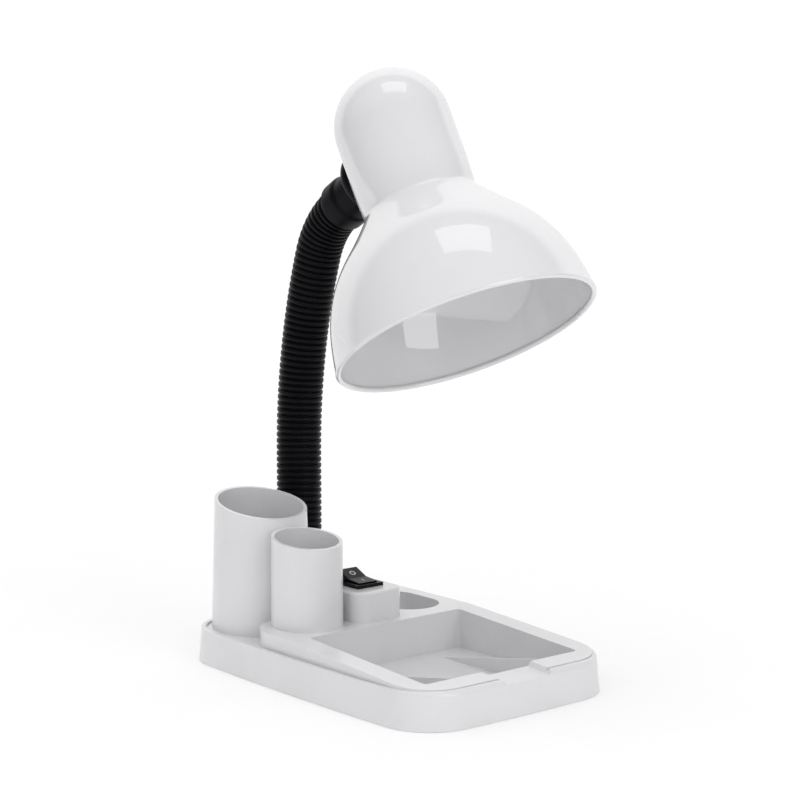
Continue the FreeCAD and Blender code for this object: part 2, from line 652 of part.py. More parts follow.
def build_switch():
    """Rocker, plunger with its spring, contact lever and terminal blades."""
    pivot = Vector(size("switch_x"), behind("switch_back"), size("pivot_height"))
    tilt = Placement(pivot, Rotation(X_AXIS, size("rocker_tilt")))
    rocker = plain("switch_rocker", build_rocker())
    rocker.Placement = tilt
    keel = size("rocker_keel")
    radius = size("plunger_radius")
    stem = Part.makeCylinder(radius, size("plunger_length"), Vector(0, 0, -keel - size("plunger_length")))
    tip = Part.makeSphere(radius, Vector(0, 0, -keel - size("plunger_length")))
    neck = Part.makeCylinder(radius / 2, radius, Vector(0, 0, -keel))
    plunger = plain("switch_plunger", stem.fuse(tip).fuse(neck))
    plunger.Placement = tilt
    wire = size("spring_wire")
    coil = size("spring_coil") - wire
    helix = Part.makeHelix(3 * wire, keel - radius - 4 * wire, coil)
    ring = Part.Wire([Part.makeCircle(wire, Vector(coil, 0, 0), Vector(0, 1, 0))])
    spring = plain("switch_spring", Part.Wire(helix.Edges).makePipeShell([ring], True, True))
    spring.Placement = tilt.multiply(Placement(Vector(0, 0, -keel + radius + 2 * wire), Rotation()))
    lever = padded("contact_lever", [
        ("0", "0"), ("dims.lever_length", "0"), ("dims.lever_length", "dims.lever_thick"),
        ("0", "dims.lever_thick")], "XZ_Plane", "dims.lever_width")
    turn = Rotation(X_AXIS, -size("lever_tilt")).multiply(Rotation(Z_AXIS, 90))
    lever.Placement = Placement(Vector(0, 0, 0), turn)
    half = "dims.lever_length / 2"
    put(lever, "dims.switch_x", SWITCH_Y + " - %s * cos(dims.lever_tilt)" % half,
        "dims.pivot_height - dims.lever_drop + %s * sin(dims.lever_tilt)" % half)
    blades = []
    foot = "dims.boss_top - dims.switch_depth - dims.blade_drop"
    seat = "dims.pivot_height - dims.lever_drop - dims.body_gap"
    fall = " - dims.blade_spread * tan(dims.lever_tilt) - dims.fit_gap"
    for name, shift, drop in (("blade_middle", "", ""), ("blade_back", " + dims.blade_spread", fall)):
        blades.append(make_box(name, "dims.blade_width", "dims.blade_thick",
                               seat + drop + " - (" + foot + ")",
                               "dims.switch_x - dims.blade_width / 2",
                               SWITCH_Y + " - dims.blade_thick / 2" + shift, foot))
    return [build_switch_housing(), rocker, plunger, spring, lever,
            group("switch_terminals", blades)]


# Flexible neck: ribbed hose pieces over a jointed core.

def neck_lengths():
    """Lengths of the straight foot, the low bend and the top bend of the neck."""
    straight = size("bend_start") - size("neck_foot")
    low = math.radians(size("low_bend_angle")) * size("low_bend_radius")
    turn = QUARTER - size("shade_tilt") - size("low_bend_angle")
    top = math.radians(turn) * size("top_bend_radius")
    return straight, low, top


def neck_point(along):
    """Place on the neck's middle line and its lean from upright in degrees."""
    straight, low, top = neck_lengths()
    y = behind("neck_back")
    if along <= straight:
        return Vector(size("neck_x"), y, size("neck_foot") + along), 0.0
    radius = size("low_bend_radius")
    turn = min(along - straight, low) / radius
    y = y - radius * (1 - math.cos(turn))
    z = size("bend_start") + radius * math.sin(turn)
    if along <= straight + low:
        return Vector(size("neck_x"), y, z), math.degrees(turn)
    radius = size("top_bend_radius")
    more = turn + (along - straight - low) / radius
    y = y - radius * (math.cos(turn) - math.cos(more))
    z = z + radius * (math.sin(more) - math.sin(turn))
    return Vector(size("neck_x"), y, z), math.degrees(more)


def neck_ring(along, radius):
    """Circle round the neck, its seam kept on the X side."""
    centre, lean = neck_point(along)
    ring = Part.Wire([Part.makeCircle(radius)])
    ring.Placement = Placement(centre, Rotation(X_AXIS, lean))
    return ring


RIBS_PER_PIECE = 5
PIECES = 13


def piece_length():
    """Length of one hose piece with its share of the joint gap."""
    return RIBS_PER_PIECE * size("rib_pitch") + size("joint_slack")


def build_hose(number):
    """One rigid piece of ribbed hose; the gap to the next one is a groove."""
    pitch = size("rib_pitch")
    crest = size("crest_share") * pitch
    flank = size("flank_share") * pitch
    gap = pitch - crest + size("joint_slack")
    start = number * piece_length() + gap / 2
    rings = []
    for k in range(RIBS_PER_PIECE):
        low = start + k * pitch
        rings.append(neck_ring(low, size("groove_radius")))
        rings.append(neck_ring(low + flank, size("crest_radius")))
        rings.append(neck_ring(low + crest - flank, size("crest_radius")))
        rings.append(neck_ring(low + crest, size("groove_radius")))
    skin = Part.makeLoft(rings, True, True)
    bore = []
    for k in range(RIBS_PER_PIECE):
        bore.append(neck_ring(start + k * pitch - flank, size("hose_bore")))
    bore.append(neck_ring(start + (RIBS_PER_PIECE - 1) * pitch + crest + flank, size("hose_bore")))
    return plain("neck_hose_%02d" % number, skin.cut(Part.makeLoft(bore, True, True)))


def build_core(number):
    """Jointed core link: a ball at its top and a socket for the ball below it."""
    here, _ = neck_point(number * piece_length())
    there, _ = neck_point((number + 1) * piece_length())
    last = number == PIECES - 1
    chord = there - here
    lean = math.degrees(math.atan2(-chord.y, chord.z))
    tall = chord.Length
    radius = size("core_radius")
    low = size("body_gap") if number == 0 else -size("socket_lip")
    high = tall if last else tall - size("shoulder_drop")
    link = Part.makeCylinder(radius, high - low, Vector(0, 0, low))
    if not last:
        link = link.fuse(Part.makeCylinder(size("stem_radius"), tall - low, Vector(0, 0, low)))
        link = link.fuse(Part.makeSphere(size("ball_radius"), Vector(0, 0, tall)))
    if number == 0:
        thread = size("neck_foot") - size("thread_foot")
        link = link.fuse(Part.makeCylinder(size("thread_radius"), thread + low, Vector(0, 0, -thread)))
        low = -thread
    else:
        link = link.cut(Part.makeSphere(size("ball_radius") + size("socket_clearance")))
    place = Placement(here, Rotation(X_AXIS, lean))
    middle, turn = neck_point((number + 0.5) * piece_length())
    band = Part.makeCylinder(size("band_radius"), size("band_width"),
                             Vector(0, 0, -size("band_width") / 2))
    band.Placement = place.inverse().multiply(Placement(middle, Rotation(X_AXIS, turn)))
    link = link.fuse(band)
    link = link.cut(Part.makeCylinder(size("core_bore"), 2 * tall - low, Vector(0, 0, low)))
    core = plain("neck_core_%02d" % number, link)
    core.Placement = place
    return core


def build_neck_foot():
    """Ferrule on the deck, washer and lock nut below it."""
    ferrule = turned("neck_ferrule", [
        ("dims.thread_radius + 2 * dims.fit_gap", "0"), ("dims.ferrule_radius", "0"),
        ("dims.ferrule_radius", "dims.ferrule_high"), ("dims.ferrule_bore", "dims.ferrule_high"),
        ("dims.ferrule_bore", "dims.ferrule_floor"),
        ("dims.thread_radius + 2 * dims.fit_gap", "dims.ferrule_floor")])
    put(ferrule, "dims.neck_x", NECK_Y, "dims.deck_height")
    washer = turned("neck_washer", [
        ("dims.thread_radius + dims.fit_gap", "0"), ("dims.washer_radius", "0"),
        ("dims.washer_radius", "dims.washer_thick"),
        ("dims.thread_radius + dims.fit_gap", "dims.washer_thick")])
    under = "dims.deck_height - dims.shell_wall - dims.washer_thick"
    put(washer, "dims.neck_x", NECK_Y, under)
    nut = make_prism("neck_nut_block", "dims.nut_across", "dims.nut_thick",
                     "dims.neck_x", NECK_Y, under + " - dims.nut_thick")
    bore = make_rod("neck_nut_bore", "dims.thread_radius + dims.fit_gap", "dims.nut_thick",
                    "dims.neck_x", NECK_Y, under + " - dims.nut_thick")
    return [ferrule, washer, cut_from("neck_lock_nut", nut, [bore])]


# Shade and its swivel, in the shade's own frame: Z along its axis from the rim up.

def shade_frame():
    """Placement of the shade: origin in the middle of its rim."""
    return Placement(Vector(size("neck_x"), worked(RIM_Y), worked(RIM_Z)),
                     Rotation(DOWNWARD_X, size("shade_tilt")))


def stub_frame():
    """Placement of the swivel: origin on the shade's axis, Z outward to the neck."""
    return Placement(Vector(size("neck_x"), worked(STUB_Y), worked(STUB_Z)),
                     Rotation(DOWNWARD_X, QUARTER + size("shade_tilt")))


def on_shade(thing):
    """Set an object in the shade's frame and tie its place to the table."""
    thing.Placement = shade_frame()
    thing.setExpression("Placement.Base.x", "dims.neck_x")
    thing.setExpression("Placement.Base.y", RIM_Y)
    thing.setExpression("Placement.Base.z", RIM_Z)
    return thing


def on_stub(thing):
    """Set an object in the swivel's frame and tie its place to the table."""
    thing.Placement = stub_frame()
    thing.setExpression("Placement.Base.x", "dims.neck_x")
    thing.setExpression("Placement.Base.y", STUB_Y)
    thing.setExpression("Placement.Base.z", STUB_Z)
    return thing


def bell_profile(inset, start):
    """Half section of the shade drawn in by inset, from its foot to the top of the dome."""
    curve = size("bell_curve") - inset
    centre = size("bell_radius") - size("bell_curve")
    rise = size("bell_straight")
    lean = math.asin(rise / size("bell_curve"))
    neck = size("shade_neck") - inset
    dome = size("stub_height") + size("dome_rise")
    foot = Vector(centre + curve, 0, 0)
    bend = Vector(centre + curve * math.cos(lean), 0, curve * math.sin(lean))
    half = Vector(centre + curve * math.cos(lean / 2), 0, curve * math.sin(lean / 2))
    run = (bend.x - neck) / math.tan(lean)
    crease = Vector(neck, 0, bend.z + run)
    dome_foot = Vector(neck, 0, dome)
    dome_half = Vector(neck * math.sqrt(0.5), 0, dome + neck * math.sqrt(0.5))
    peak = Vector(0, 0, dome + neck)
    below = Vector(foot.x, 0, start)
    axis_foot = Vector(0, 0, start)
    edges = [Part.Arc(foot, half, bend).toShape(), Part.makeLine(bend, crease),
             Part.makeLine(crease, dome_foot), Part.Arc(dome_foot, dome_half, peak).toShape(),
             Part.makeLine(peak, axis_foot), Part.makeLine(axis_foot, below)]
    if start < 0:
        edges.append(Part.makeLine(below, foot))
    return Part.Face(Part.Wire(edges))


def build_shade():
    """Spun bell shade with a domed neck and a rolled rim."""
    outer = bell_profile(0, 0).revolve(Vector(0, 0, 0), Z_AXIS, 360)
    inner = bell_profile(size("shade_wall"), -size("shade_wall")).revolve(Vector(0, 0, 0), Z_AXIS, 360)
    body = outer.cut(inner)
    roll = size("bead_radius")
    bead = Part.makeTorus(size("bell_radius") + size("bead_out") - roll, roll, Vector(0, 0, roll))
    body = body.fuse(bead)
    hole = Part.makeCylinder(size("stub_hole"), size("bell_radius"),
                             Vector(0, 0, size("stub_height")), Vector(0, 1, 0))
    return on_shade(plain("shade", body.cut(hole)))


def build_swivel():
    """Rosette, collar, swivel pin, friction washer, saddle spacer and thin nut."""
    rosette = turned("rosette_block", [
        ("dims.stub_hole", "dims.saddle_start"), ("dims.rosette_radius", "dims.saddle_start"),
        ("dims.rosette_radius", "dims.rosette_edge"), ("dims.rosette_hub", "dims.rosette_face"),
        ("dims.stub_hole", "dims.rosette_face")])
    bell = bell_profile(0, 0).revolve(Vector(0, 0, 0), Z_AXIS, 360)
    bell.Placement = Placement(Vector(0, 0, size("stub_height")), Rotation(DOWNWARD_X, QUARTER)).inverse()
    trim = plain("shade_space", bell)
    rosette_cut = on_stub(cut_from("shade_rosette", rosette, [trim]))
    bore = "dims.pin_radius + dims.pin_clearance"
    collar = on_stub(turned("neck_collar", [
        (bore, "dims.collar_start"), ("dims.collar_slim", "dims.collar_start"),
        ("dims.collar_slim", "dims.collar_step"),
        ("dims.collar_wide", "dims.collar_step + dims.collar_flare"),
        ("dims.collar_wide", "dims.collar_end"), ("dims.collar_chamber", "dims.collar_end"),
        ("dims.collar_chamber", "dims.chamber_start"), (bore, "dims.chamber_start")]))
    pin = on_stub(turned("swivel_pin", [
        ("dims.pin_bore", "dims.pin_end"), ("dims.pin_radius", "dims.pin_end"),
        ("dims.pin_radius", "dims.pin_head_start"), ("dims.pin_head", "dims.pin_head_start"),
        ("dims.pin_head", "dims.pin_head_start + dims.pin_head_thick"),
        ("dims.pin_bore", "dims.pin_head_start + dims.pin_head_thick")]))
    friction = on_stub(turned("friction_washer", [
        ("dims.pin_radius + dims.pin_clearance", "dims.chamber_start"),
        ("dims.friction_radius", "dims.chamber_start"),
        ("dims.friction_radius", "dims.chamber_start + dims.friction_thick"),
        ("dims.pin_radius + dims.pin_clearance", "dims.chamber_start + dims.friction_thick")]))
    spacer = turned("saddle_block", [
        ("dims.pin_radius + dims.fit_gap", "dims.saddle_start"),
        ("dims.saddle_radius", "dims.saddle_start"), ("dims.saddle_radius", "dims.shade_neck"),
        ("dims.pin_radius + dims.fit_gap", "dims.shade_neck")])
    room = plain("neck_inside", Part.makeCylinder(
        size("shade_neck") - size("shade_wall"), 4 * size("rosette_radius"),
        Vector(0, -2 * size("rosette_radius"), 0), Vector(0, 1, 0)))
    saddle = doc.addObject("Part::Common", "saddle_spacer")
    saddle.Base = spacer
    saddle.Tool = room
    on_stub(saddle)
    low = "dims.saddle_start - dims.strap_thick - dims.thin_nut_thick"
    nut = make_prism("thin_nut_block", "dims.thin_nut_across", "dims.thin_nut_thick", "0", "0", low)
    hole = make_rod("thin_nut_bore", "dims.pin_radius + dims.fit_gap", "dims.thin_nut_thick",
                    "0", "0", low)
    thin_nut = on_stub(cut_from("swivel_nut", nut, [hole]))
    return [rosette_cut, collar, pin, friction, saddle, thin_nut]


def build_strap():
    """Bent steel strap from the swivel pin over the top of the lampholder."""
    outer = size("saddle_start")
    thick = size("strap_thick")
    inner = size("strap_inner")
    stub = size("stub_height")
    low = stub - size("strap_drop")
    bend = stub + size("bend_rise")
    top = stub + size("strap_rise") + thick
    run = outer - inner
    climb = top - bend
    shift = thick * math.tan(math.atan2(run, climb) / 2)
    turn = thick * math.tan(math.atan2(climb, run) / 2)
    corners = [(outer, low), (outer, bend), (inner, top),
               (-size("strap_tail"), top), (-size("strap_tail"), top - thick),
               (inner - turn, top - thick), (outer - thick, bend - shift),
               (outer - thick, low)]
    strap = side_prism(corners, size("strap_width") / 2)
    hole = Part.makeCylinder(size("pin_radius") + size("fit_gap"), 2 * outer,
                             Vector(0, 0, stub), Vector(0, 1, 0))
    tap = Part.makeCylinder(size("fixing_shank") + size("fit_gap"), 3 * thick,
                            Vector(0, 0, top - 2 * thick))
    return on_shade(plain("holder_strap", strap.cut(hole).cut(tap)))


def build_holder():
    """Lampholder: insulating cap, threaded sleeve, centre contact and its fixing screw."""
    mouth = "dims.stub_height - dims.mouth_drop"
    top = "dims.stub_height + dims.holder_rise"
    floor = "dims.stub_height + dims.floor_rise"
    cap = turned("holder_cap_block", [
        ("dims.holder_bore", mouth), ("dims.holder_radius", mouth),
        ("dims.holder_radius", "dims.stub_height + dims.holder_shoulder"),
        ("dims.holder_crown", top), ("0", top), ("0", floor), ("dims.holder_bore", floor)])
    tap = make_rod("holder_tap", "dims.fixing_shank + dims.fit_gap", "dims.fixing_depth",
                   "0", "0", top + " - dims.fixing_depth + dims.fit_gap")
    channel = make_box("lead_channel", "dims.channel_width", "2 * dims.channel_depth",
                       "dims.holder_radius", "-dims.channel_width / 2",
                       "dims.holder_radius - dims.channel_depth",
                       "dims.stub_height - dims.channel_width / 2")
    cap_cut = on_shade(cut_from("holder_cap", cap, [tap, channel]))
    steps = 6
    start = "dims.stub_height - dims.thread_drop"
    place = start + " + %d * dims.thread_pitch / 2"
    end = place % (2 * steps + 1)
    corners = [("dims.lamp_thread_outer", start), ("dims.lamp_thread_outer", end),
               ("dims.contact_radius + dims.contact_high", end),
               ("dims.contact_radius + dims.contact_high", end + " - dims.thread_floor")]
    for k in range(steps, 0, -1):
        corners.append(("dims.lamp_thread", place % (2 * k)))
        corners.append(("dims.lamp_thread - dims.thread_depth", place % (2 * k - 1)))
    corners.append(("dims.lamp_thread", start))
    sleeve = on_shade(turned("thread_sleeve", corners))
    contact = on_shade(turned("centre_contact", [
        ("0", floor + " - dims.contact_high"), ("dims.contact_radius", floor + " - dims.contact_high"),
        ("dims.contact_radius", floor), ("0", floor)]))
    strap_top = "dims.stub_height + dims.strap_rise + dims.strap_thick"
    screw = on_shade(turned("fixing_screw", [
        ("0", top + " - dims.fixing_depth + 2 * dims.fit_gap"),
        ("dims.fixing_shank", top + " - dims.fixing_depth + 2 * dims.fit_gap"),
        ("dims.fixing_shank", strap_top), ("dims.fixing_head", strap_top),
        ("dims.fixing_head", strap_top + " + dims.fixing_head_high"),
        ("0", strap_top + " + dims.fixing_head_high")]))
    return [cap_cut, sleeve, contact, screw]


def build_lead(name, spots, radius):
    """Round lead along a smooth line through a few places."""
    line = Part.BSplineCurve()
    line.interpolate(spots)
    path = Part.Wire([line.toShape()])
    start = line.tangent(line.FirstParameter)[0]
    ring = Part.Wire([Part.makeCircle(radius, spots[0], start)])
    return plain(name, path.makePipeShell([ring], True, True))


def build_leads():
    """Leads from the inlet to the switch, from the switch to the neck, and in the shade's neck."""
    radius = size("lead_radius")
    spread = size("blade_spread")
    blade = size("boss_top") - size("switch_depth") - size("blade_drop") - radius - size("body_gap")
    neck_y = behind("neck_back")
    switch_y = behind("switch_back")
    aside = size("washer_radius")
    run = neck_y - 2 * size("nut_across")
    low = size("thread_foot") - size("body_gap")
    inlet_y = behind("inlet_sink") - 2 * size("inlet_depth")
    supply = [Vector(size("inlet_x"), inlet_y, size("inlet_z")),
              Vector(size("inlet_x") - aside, neck_y - aside, low + radius),
              Vector(size("switch_x") + 3 * radius, run + radius, low + 3 * radius),
              Vector(size("switch_x"), switch_y + spread, blade)]
    lamp = [Vector(size("neck_x"), neck_y, low - 5 * radius / 2),
            Vector(size("neck_x") - 5 * radius, neck_y - aside, low + radius / 4),
            Vector(size("switch_x") - 5 * radius, run, low + 3 * radius),
            Vector(size("switch_x") - 4 * radius, switch_y + 2 * radius, low + 3 * radius),
            Vector(size("switch_x"), switch_y, blade)]
    deep = size("holder_radius") - size("channel_depth") + radius + size("fit_gap")
    stub = size("stub_height")
    holder = [Vector(0, size("pin_end") + 2 * radius, stub), Vector(0, deep + radius / 2, stub + radius),
              Vector(0, deep, stub + 5 * radius), Vector(0, deep, stub + 9 * radius)]
    return [build_lead("supply_lead", supply, radius), build_lead("lamp_lead", lamp, radius),
            on_shade(build_lead("holder_lead", holder, radius))]


made = [build_shell()]
made += build_bottom()
made += build_switch()
made += build_neck_foot()
for piece in range(PIECES):
    made.append(build_hose(piece))
    made.append(build_core(piece))
made += build_swivel()
made.append(build_shade())
made.append(build_strap())
made += build_holder()
made += build_leads()
doc.recompute()

for item in made:
    item.Label = item.Name
    state = [word for word in item.State if word in ("Invalid", "Error")]
    if state or item.Shape.isNull() or not item.Shape.isValid():
        raise RuntimeError("%s is not sound: %s" % (item.Label, state))
for item in made:
    item.Shape.exportStep("parts/%s.step" % item.Label)
    box = item.Shape.BoundBox
    print("%-18s solids %d volume %9.1f  x %7.2f %7.2f  y %7.2f %7.2f  z %7.2f %7.2f" % (
        item.Label, len(item.Shape.Solids), item.Shape.Volume,
        box.XMin, box.XMax, box.YMin, box.YMax, box.ZMin, box.ZMax))
print("nodes", len(made))
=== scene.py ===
# %% [markdown]
# A desk lamp on an organiser base, dressed for its picture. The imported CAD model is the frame:
# it says where each piece is and which body it moves with. This script gives each piece the
# surface of the real one, rounds the edges of the base, and builds the forms that CAD draws
# plainly: the ribbed neck, the spun shade, the collar, the rosette and the rocker's two marks.

# %% Load the frame
import json
import math
import bmesh
import bpy
import numpy as np
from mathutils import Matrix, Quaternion, Vector

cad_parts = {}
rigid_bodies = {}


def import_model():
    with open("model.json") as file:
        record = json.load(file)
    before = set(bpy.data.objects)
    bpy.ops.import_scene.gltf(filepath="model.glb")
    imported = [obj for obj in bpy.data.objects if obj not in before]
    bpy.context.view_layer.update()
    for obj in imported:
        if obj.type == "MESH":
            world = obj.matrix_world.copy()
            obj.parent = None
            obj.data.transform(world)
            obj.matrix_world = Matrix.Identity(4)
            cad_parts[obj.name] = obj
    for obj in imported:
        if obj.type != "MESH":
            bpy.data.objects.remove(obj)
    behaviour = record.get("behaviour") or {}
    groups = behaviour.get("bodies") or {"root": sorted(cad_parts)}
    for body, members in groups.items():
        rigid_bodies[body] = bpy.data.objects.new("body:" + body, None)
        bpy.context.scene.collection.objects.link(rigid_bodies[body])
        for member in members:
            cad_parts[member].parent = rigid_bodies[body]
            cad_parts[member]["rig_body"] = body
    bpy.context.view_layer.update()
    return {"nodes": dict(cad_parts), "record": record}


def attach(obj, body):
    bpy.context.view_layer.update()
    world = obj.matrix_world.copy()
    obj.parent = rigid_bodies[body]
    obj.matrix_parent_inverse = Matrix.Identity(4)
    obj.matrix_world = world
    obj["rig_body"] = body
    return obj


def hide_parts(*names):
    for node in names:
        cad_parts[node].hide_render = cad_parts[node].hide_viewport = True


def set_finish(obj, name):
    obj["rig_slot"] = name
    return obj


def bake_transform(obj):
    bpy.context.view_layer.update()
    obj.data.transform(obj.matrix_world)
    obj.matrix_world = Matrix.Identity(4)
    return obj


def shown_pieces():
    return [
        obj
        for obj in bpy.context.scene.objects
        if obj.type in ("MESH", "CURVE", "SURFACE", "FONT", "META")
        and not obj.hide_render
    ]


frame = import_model()
nodes = frame["nodes"]
MM = 0.001

# %% [markdown]
# The camera looks at the lamp from the front left and slightly down. Its place, aim and lens were
# solved from the outline of the base in the photograph.

# %% Camera
CAMERA_PLACE = Vector((-0.5647, -0.6817, 0.2360))
CAMERA_LOOK = Vector((0.6355, 0.7619, -0.1246))
LENS, SENSOR, NEAREST, FARTHEST = 90.0, 36.0, 0.05, 20.0

camera_data = bpy.data.cameras.new("camera")
camera_data.lens, camera_data.sensor_width = LENS, SENSOR
camera_data.clip_start, camera_data.clip_end = NEAREST, FARTHEST
camera = bpy.data.objects.new("camera", camera_data)
camera.location = CAMERA_PLACE
camera.rotation_mode = "QUATERNION"
camera.rotation_quaternion = CAMERA_LOOK.to_track_quat("-Z", "Y")
bpy.context.scene.collection.objects.link(camera)
bpy.context.scene.camera = camera
print("camera", tuple(round(c, 3) for c in camera.location))

# %% [markdown]
# A surface is a grid of points worked out as whole arrays. Most pieces are loops of rings, turned
# round an axis or carried along a line, so one helper joins the rings with faces.

# %% Grid helpers
SAME_POINT = 1e-7
X_AXIS = np.array([1.0, 0, 0])


def round_steps(count):
    """Angles of count even steps round a circle, from 0, without the end."""
    return np.linspace(0, 2 * math.pi, count, endpoint=False)


def make_piece(name, points, faces, smooth=True):
    """Object at the origin from an (n, 3) array in metres and a list or array of faces."""
    mesh = bpy.data.meshes.new(name)
    mesh.from_pydata(np.asarray(points, float).tolist(), [], [list(map(int, f)) for f in faces])
    mesh.update()
    mesh.polygons.foreach_set("use_smooth", np.full(len(mesh.polygons), smooth))
    piece = bpy.data.objects.new(name, mesh)
    bpy.context.scene.collection.objects.link(piece)
    return piece


def outward(piece):
    """Merges doubles and makes every face of a closed piece point outwards."""
    work = bmesh.new()
    work.from_mesh(piece.data)
    bmesh.ops.remove_doubles(work, verts=work.verts, dist=SAME_POINT)
    bmesh.ops.recalc_face_normals(work, faces=work.faces)
    work.to_mesh(piece.data)
    work.free()
    return piece


def ring_faces(rings, sides, closed=True):
    """Quads of a grid: the face of cell (i, j) joins point j of ring i with the next point and
    the next ring; a closed grid joins its last ring with its first."""
    i, j = np.meshgrid(np.arange(rings if closed else rings - 1), np.arange(sides), indexing="ij")
    i, j = i.ravel(), j.ravel()
    up, on = (i + 1) % rings, (j + 1) % sides
    return np.stack([i * sides + j, i * sides + on, up * sides + on, up * sides + j], 1)


def turned(name, outline, place, sides, height=None, closed=True):
    """(radius, height) outline in millimetres turned round the Z of a 4x4 place: the point is
    (r cos a, r sin a, h), with h from the outline or from an array of one height per point."""
    turn = round_steps(sides)
    height = np.broadcast_to(outline[:, 1:] if height is None else height, (len(outline), sides))
    points = np.stack([outline[:, :1] * np.cos(turn), outline[:, :1] * np.sin(turn), height], -1)
    points = points.reshape(-1, 3) * MM @ place[:3, :3].T + place[:3, 3]
    return outward(make_piece(name, points, ring_faces(len(outline), sides, closed)))


print("helpers ready")

# %% [markdown]
# Real corners are never sharp. A curve that leans on the corner point takes its place.

# %% Rounded corners
SIDE_SHARE = 0.45


def rounded(start, corner, end, steps):
    """Points of (1-t)^2 A + 2t(1-t) P + t^2 B from start A to end B, leaning on corner P."""
    t = np.linspace(0, 1, steps + 1)[:, None]
    return (1 - t) ** 2 * start + 2 * t * (1 - t) * corner + t ** 2 * end


def soften(corners, steps):
    """Closed outline from rows of radius, height and reach. Each corner is rounded between the two
    points at its reach from it, and a short side limits the reach to a share of itself."""
    corners = np.asarray(corners, float)
    spots, reach = corners[:, :2], corners[:, 2:]
    ends = []
    for side in (np.roll(spots, 1, 0) - spots, np.roll(spots, -1, 0) - spots):
        length = np.linalg.norm(side, axis=1, keepdims=True)
        ends.append(spots + side / length * np.minimum(reach, SIDE_SHARE * length))
    return np.concatenate([rounded(a, p, b, steps) for a, p, b in zip(ends[0], spots, ends[1])])


print("corner helpers ready")

# %% [markdown]
# The neck's middle line is a straight foot, a long gentle bend and a tight bend to the shade.
# The joints of the CAD model sit at equal steps along it. The sleeve runs from the middle of one
# hose piece to the middle of the next, so each length crosses one joint only.

# %% Neck line
NECK_X, NECK_Y, NECK_FOOT, BEND_START = 4.0, 75.54, 24.6, 92.52
LOW_RADIUS, LOW_TURN, TOP_RADIUS = 289.9, math.radians(19.06), 40.47
HOSE_PIECES, RIBS_PER_PIECE = 13, 5
PIECE_LENGTH, END_GAP = 14.95, 0.9
NECK_START, NECK_END = END_GAP, HOSE_PIECES * PIECE_LENGTH - END_GAP


def neck_line(along):
    """Middle line in millimetres and its lean: straight up, then y = y0 - R (1 - cos a) and
    z = z0 + R sin a on the low arc, then the same from that arc's end on the top arc."""
    along = np.asarray(along, float)
    straight = BEND_START - NECK_FOOT
    low = np.clip(along - straight, 0, LOW_RADIUS * LOW_TURN) / LOW_RADIUS
    top = np.clip(along - straight - LOW_RADIUS * LOW_TURN, 0, None) / TOP_RADIUS
    lean = low + top
    y = NECK_Y - LOW_RADIUS * (1 - np.cos(low)) - TOP_RADIUS * (np.cos(low) - np.cos(lean))
    z = NECK_FOOT + np.clip(along, None, straight) + LOW_RADIUS * np.sin(low)
    z = z + TOP_RADIUS * (np.sin(lean) - np.sin(low))
    return np.stack([np.full_like(y, NECK_X), y, z], -1), lean


def neck_spots(along, radius, sides):
    """Rings of points round the middle line: centre + r cos a X + r sin a N, where N is square
    to the line in the plane of its bends."""
    turn = round_steps(sides)[None, :, None]
    centre, lean = neck_line(along)
    normal = np.stack([np.zeros_like(lean), np.cos(lean), np.sin(lean)], -1)[:, None]
    ring = np.cos(turn) * X_AXIS + np.sin(turn) * normal
    return centre[:, None] + radius[:, None, None] * ring


print("neck ends at", neck_line([NECK_END])[0].round(1).tolist())

# %% [markdown]
# The hose is a black moulded conduit with wide round ribs and narrow grooves. One rib is a
# rounded step: the radius stays on the crest over most of the pitch and falls into the groove
# with a steep flank, which gives the thin bright line on every rib. Nearly pure turns make the
# numbers of a bend unsteady. A length that crosses a joint is left where it is made, on no body.

# %% Ribbed sleeve
CREST, GROOVE, SLEEVE_BORE = 10.7, 9.45, 7.9
SLEEVE_SIDES, BORE_RINGS, END_CLEARANCE = 56, 6, 0.05
STATED_DOWNWARD = 9
RIB_PITCH = PIECE_LENGTH / RIBS_PER_PIECE
RIB_STATIONS = np.array([0.0, 0.08, 0.13, 0.17, 0.25, 0.38, 0.5, 0.62, 0.75, 0.83, 0.87, 0.92])
RIB_FORM = np.array([0.0, 0.02, 0.22, 0.72, 0.93, 0.99, 1.0, 0.99, 0.93, 0.72, 0.22, 0.02])


def sleeve_length(name, start, end, before, after, downward):
    """Ribbed tube with closed ends from start to end, of radius groove + (crest - groove) * form;
    it follows one body, and a length between two bodies is attached to neither."""
    ribs = np.arange(math.floor(start / RIB_PITCH), math.ceil(end / RIB_PITCH) + 1)
    along = (ribs[:, None] + RIB_STATIONS).ravel() * RIB_PITCH
    form = np.tile(RIB_FORM, len(ribs))
    within = (along > start + END_CLEARANCE) & (along < end - END_CLEARANCE)
    end_form = np.interp([start, end], along, form)
    along = np.concatenate([[start], along[within], [end]])
    form = np.concatenate([end_form[:1], form[within], end_form[1:]])
    skin = neck_spots(along, GROOVE + (CREST - GROOVE) * form, SLEEVE_SIDES)
    bore = neck_spots(np.linspace(end, start, BORE_RINGS), np.full(BORE_RINGS, SLEEVE_BORE),
                      SLEEVE_SIDES)
    points = np.concatenate([skin, bore])
    piece = outward(make_piece(name, points.reshape(-1, 3) * MM,
                               ring_faces(len(points), SLEEVE_SIDES)))
    if before == after:
        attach(piece, before)
    else:
        spots = neck_line([start, end])[0] * MM
        if downward:
            spots, before, after = spots[::-1], after, before
        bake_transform(piece)
    return piece


def neck_body(number):
    """Name of the body that carries hose piece number."""
    return "base" if number == 0 else "neck_%02d" % number


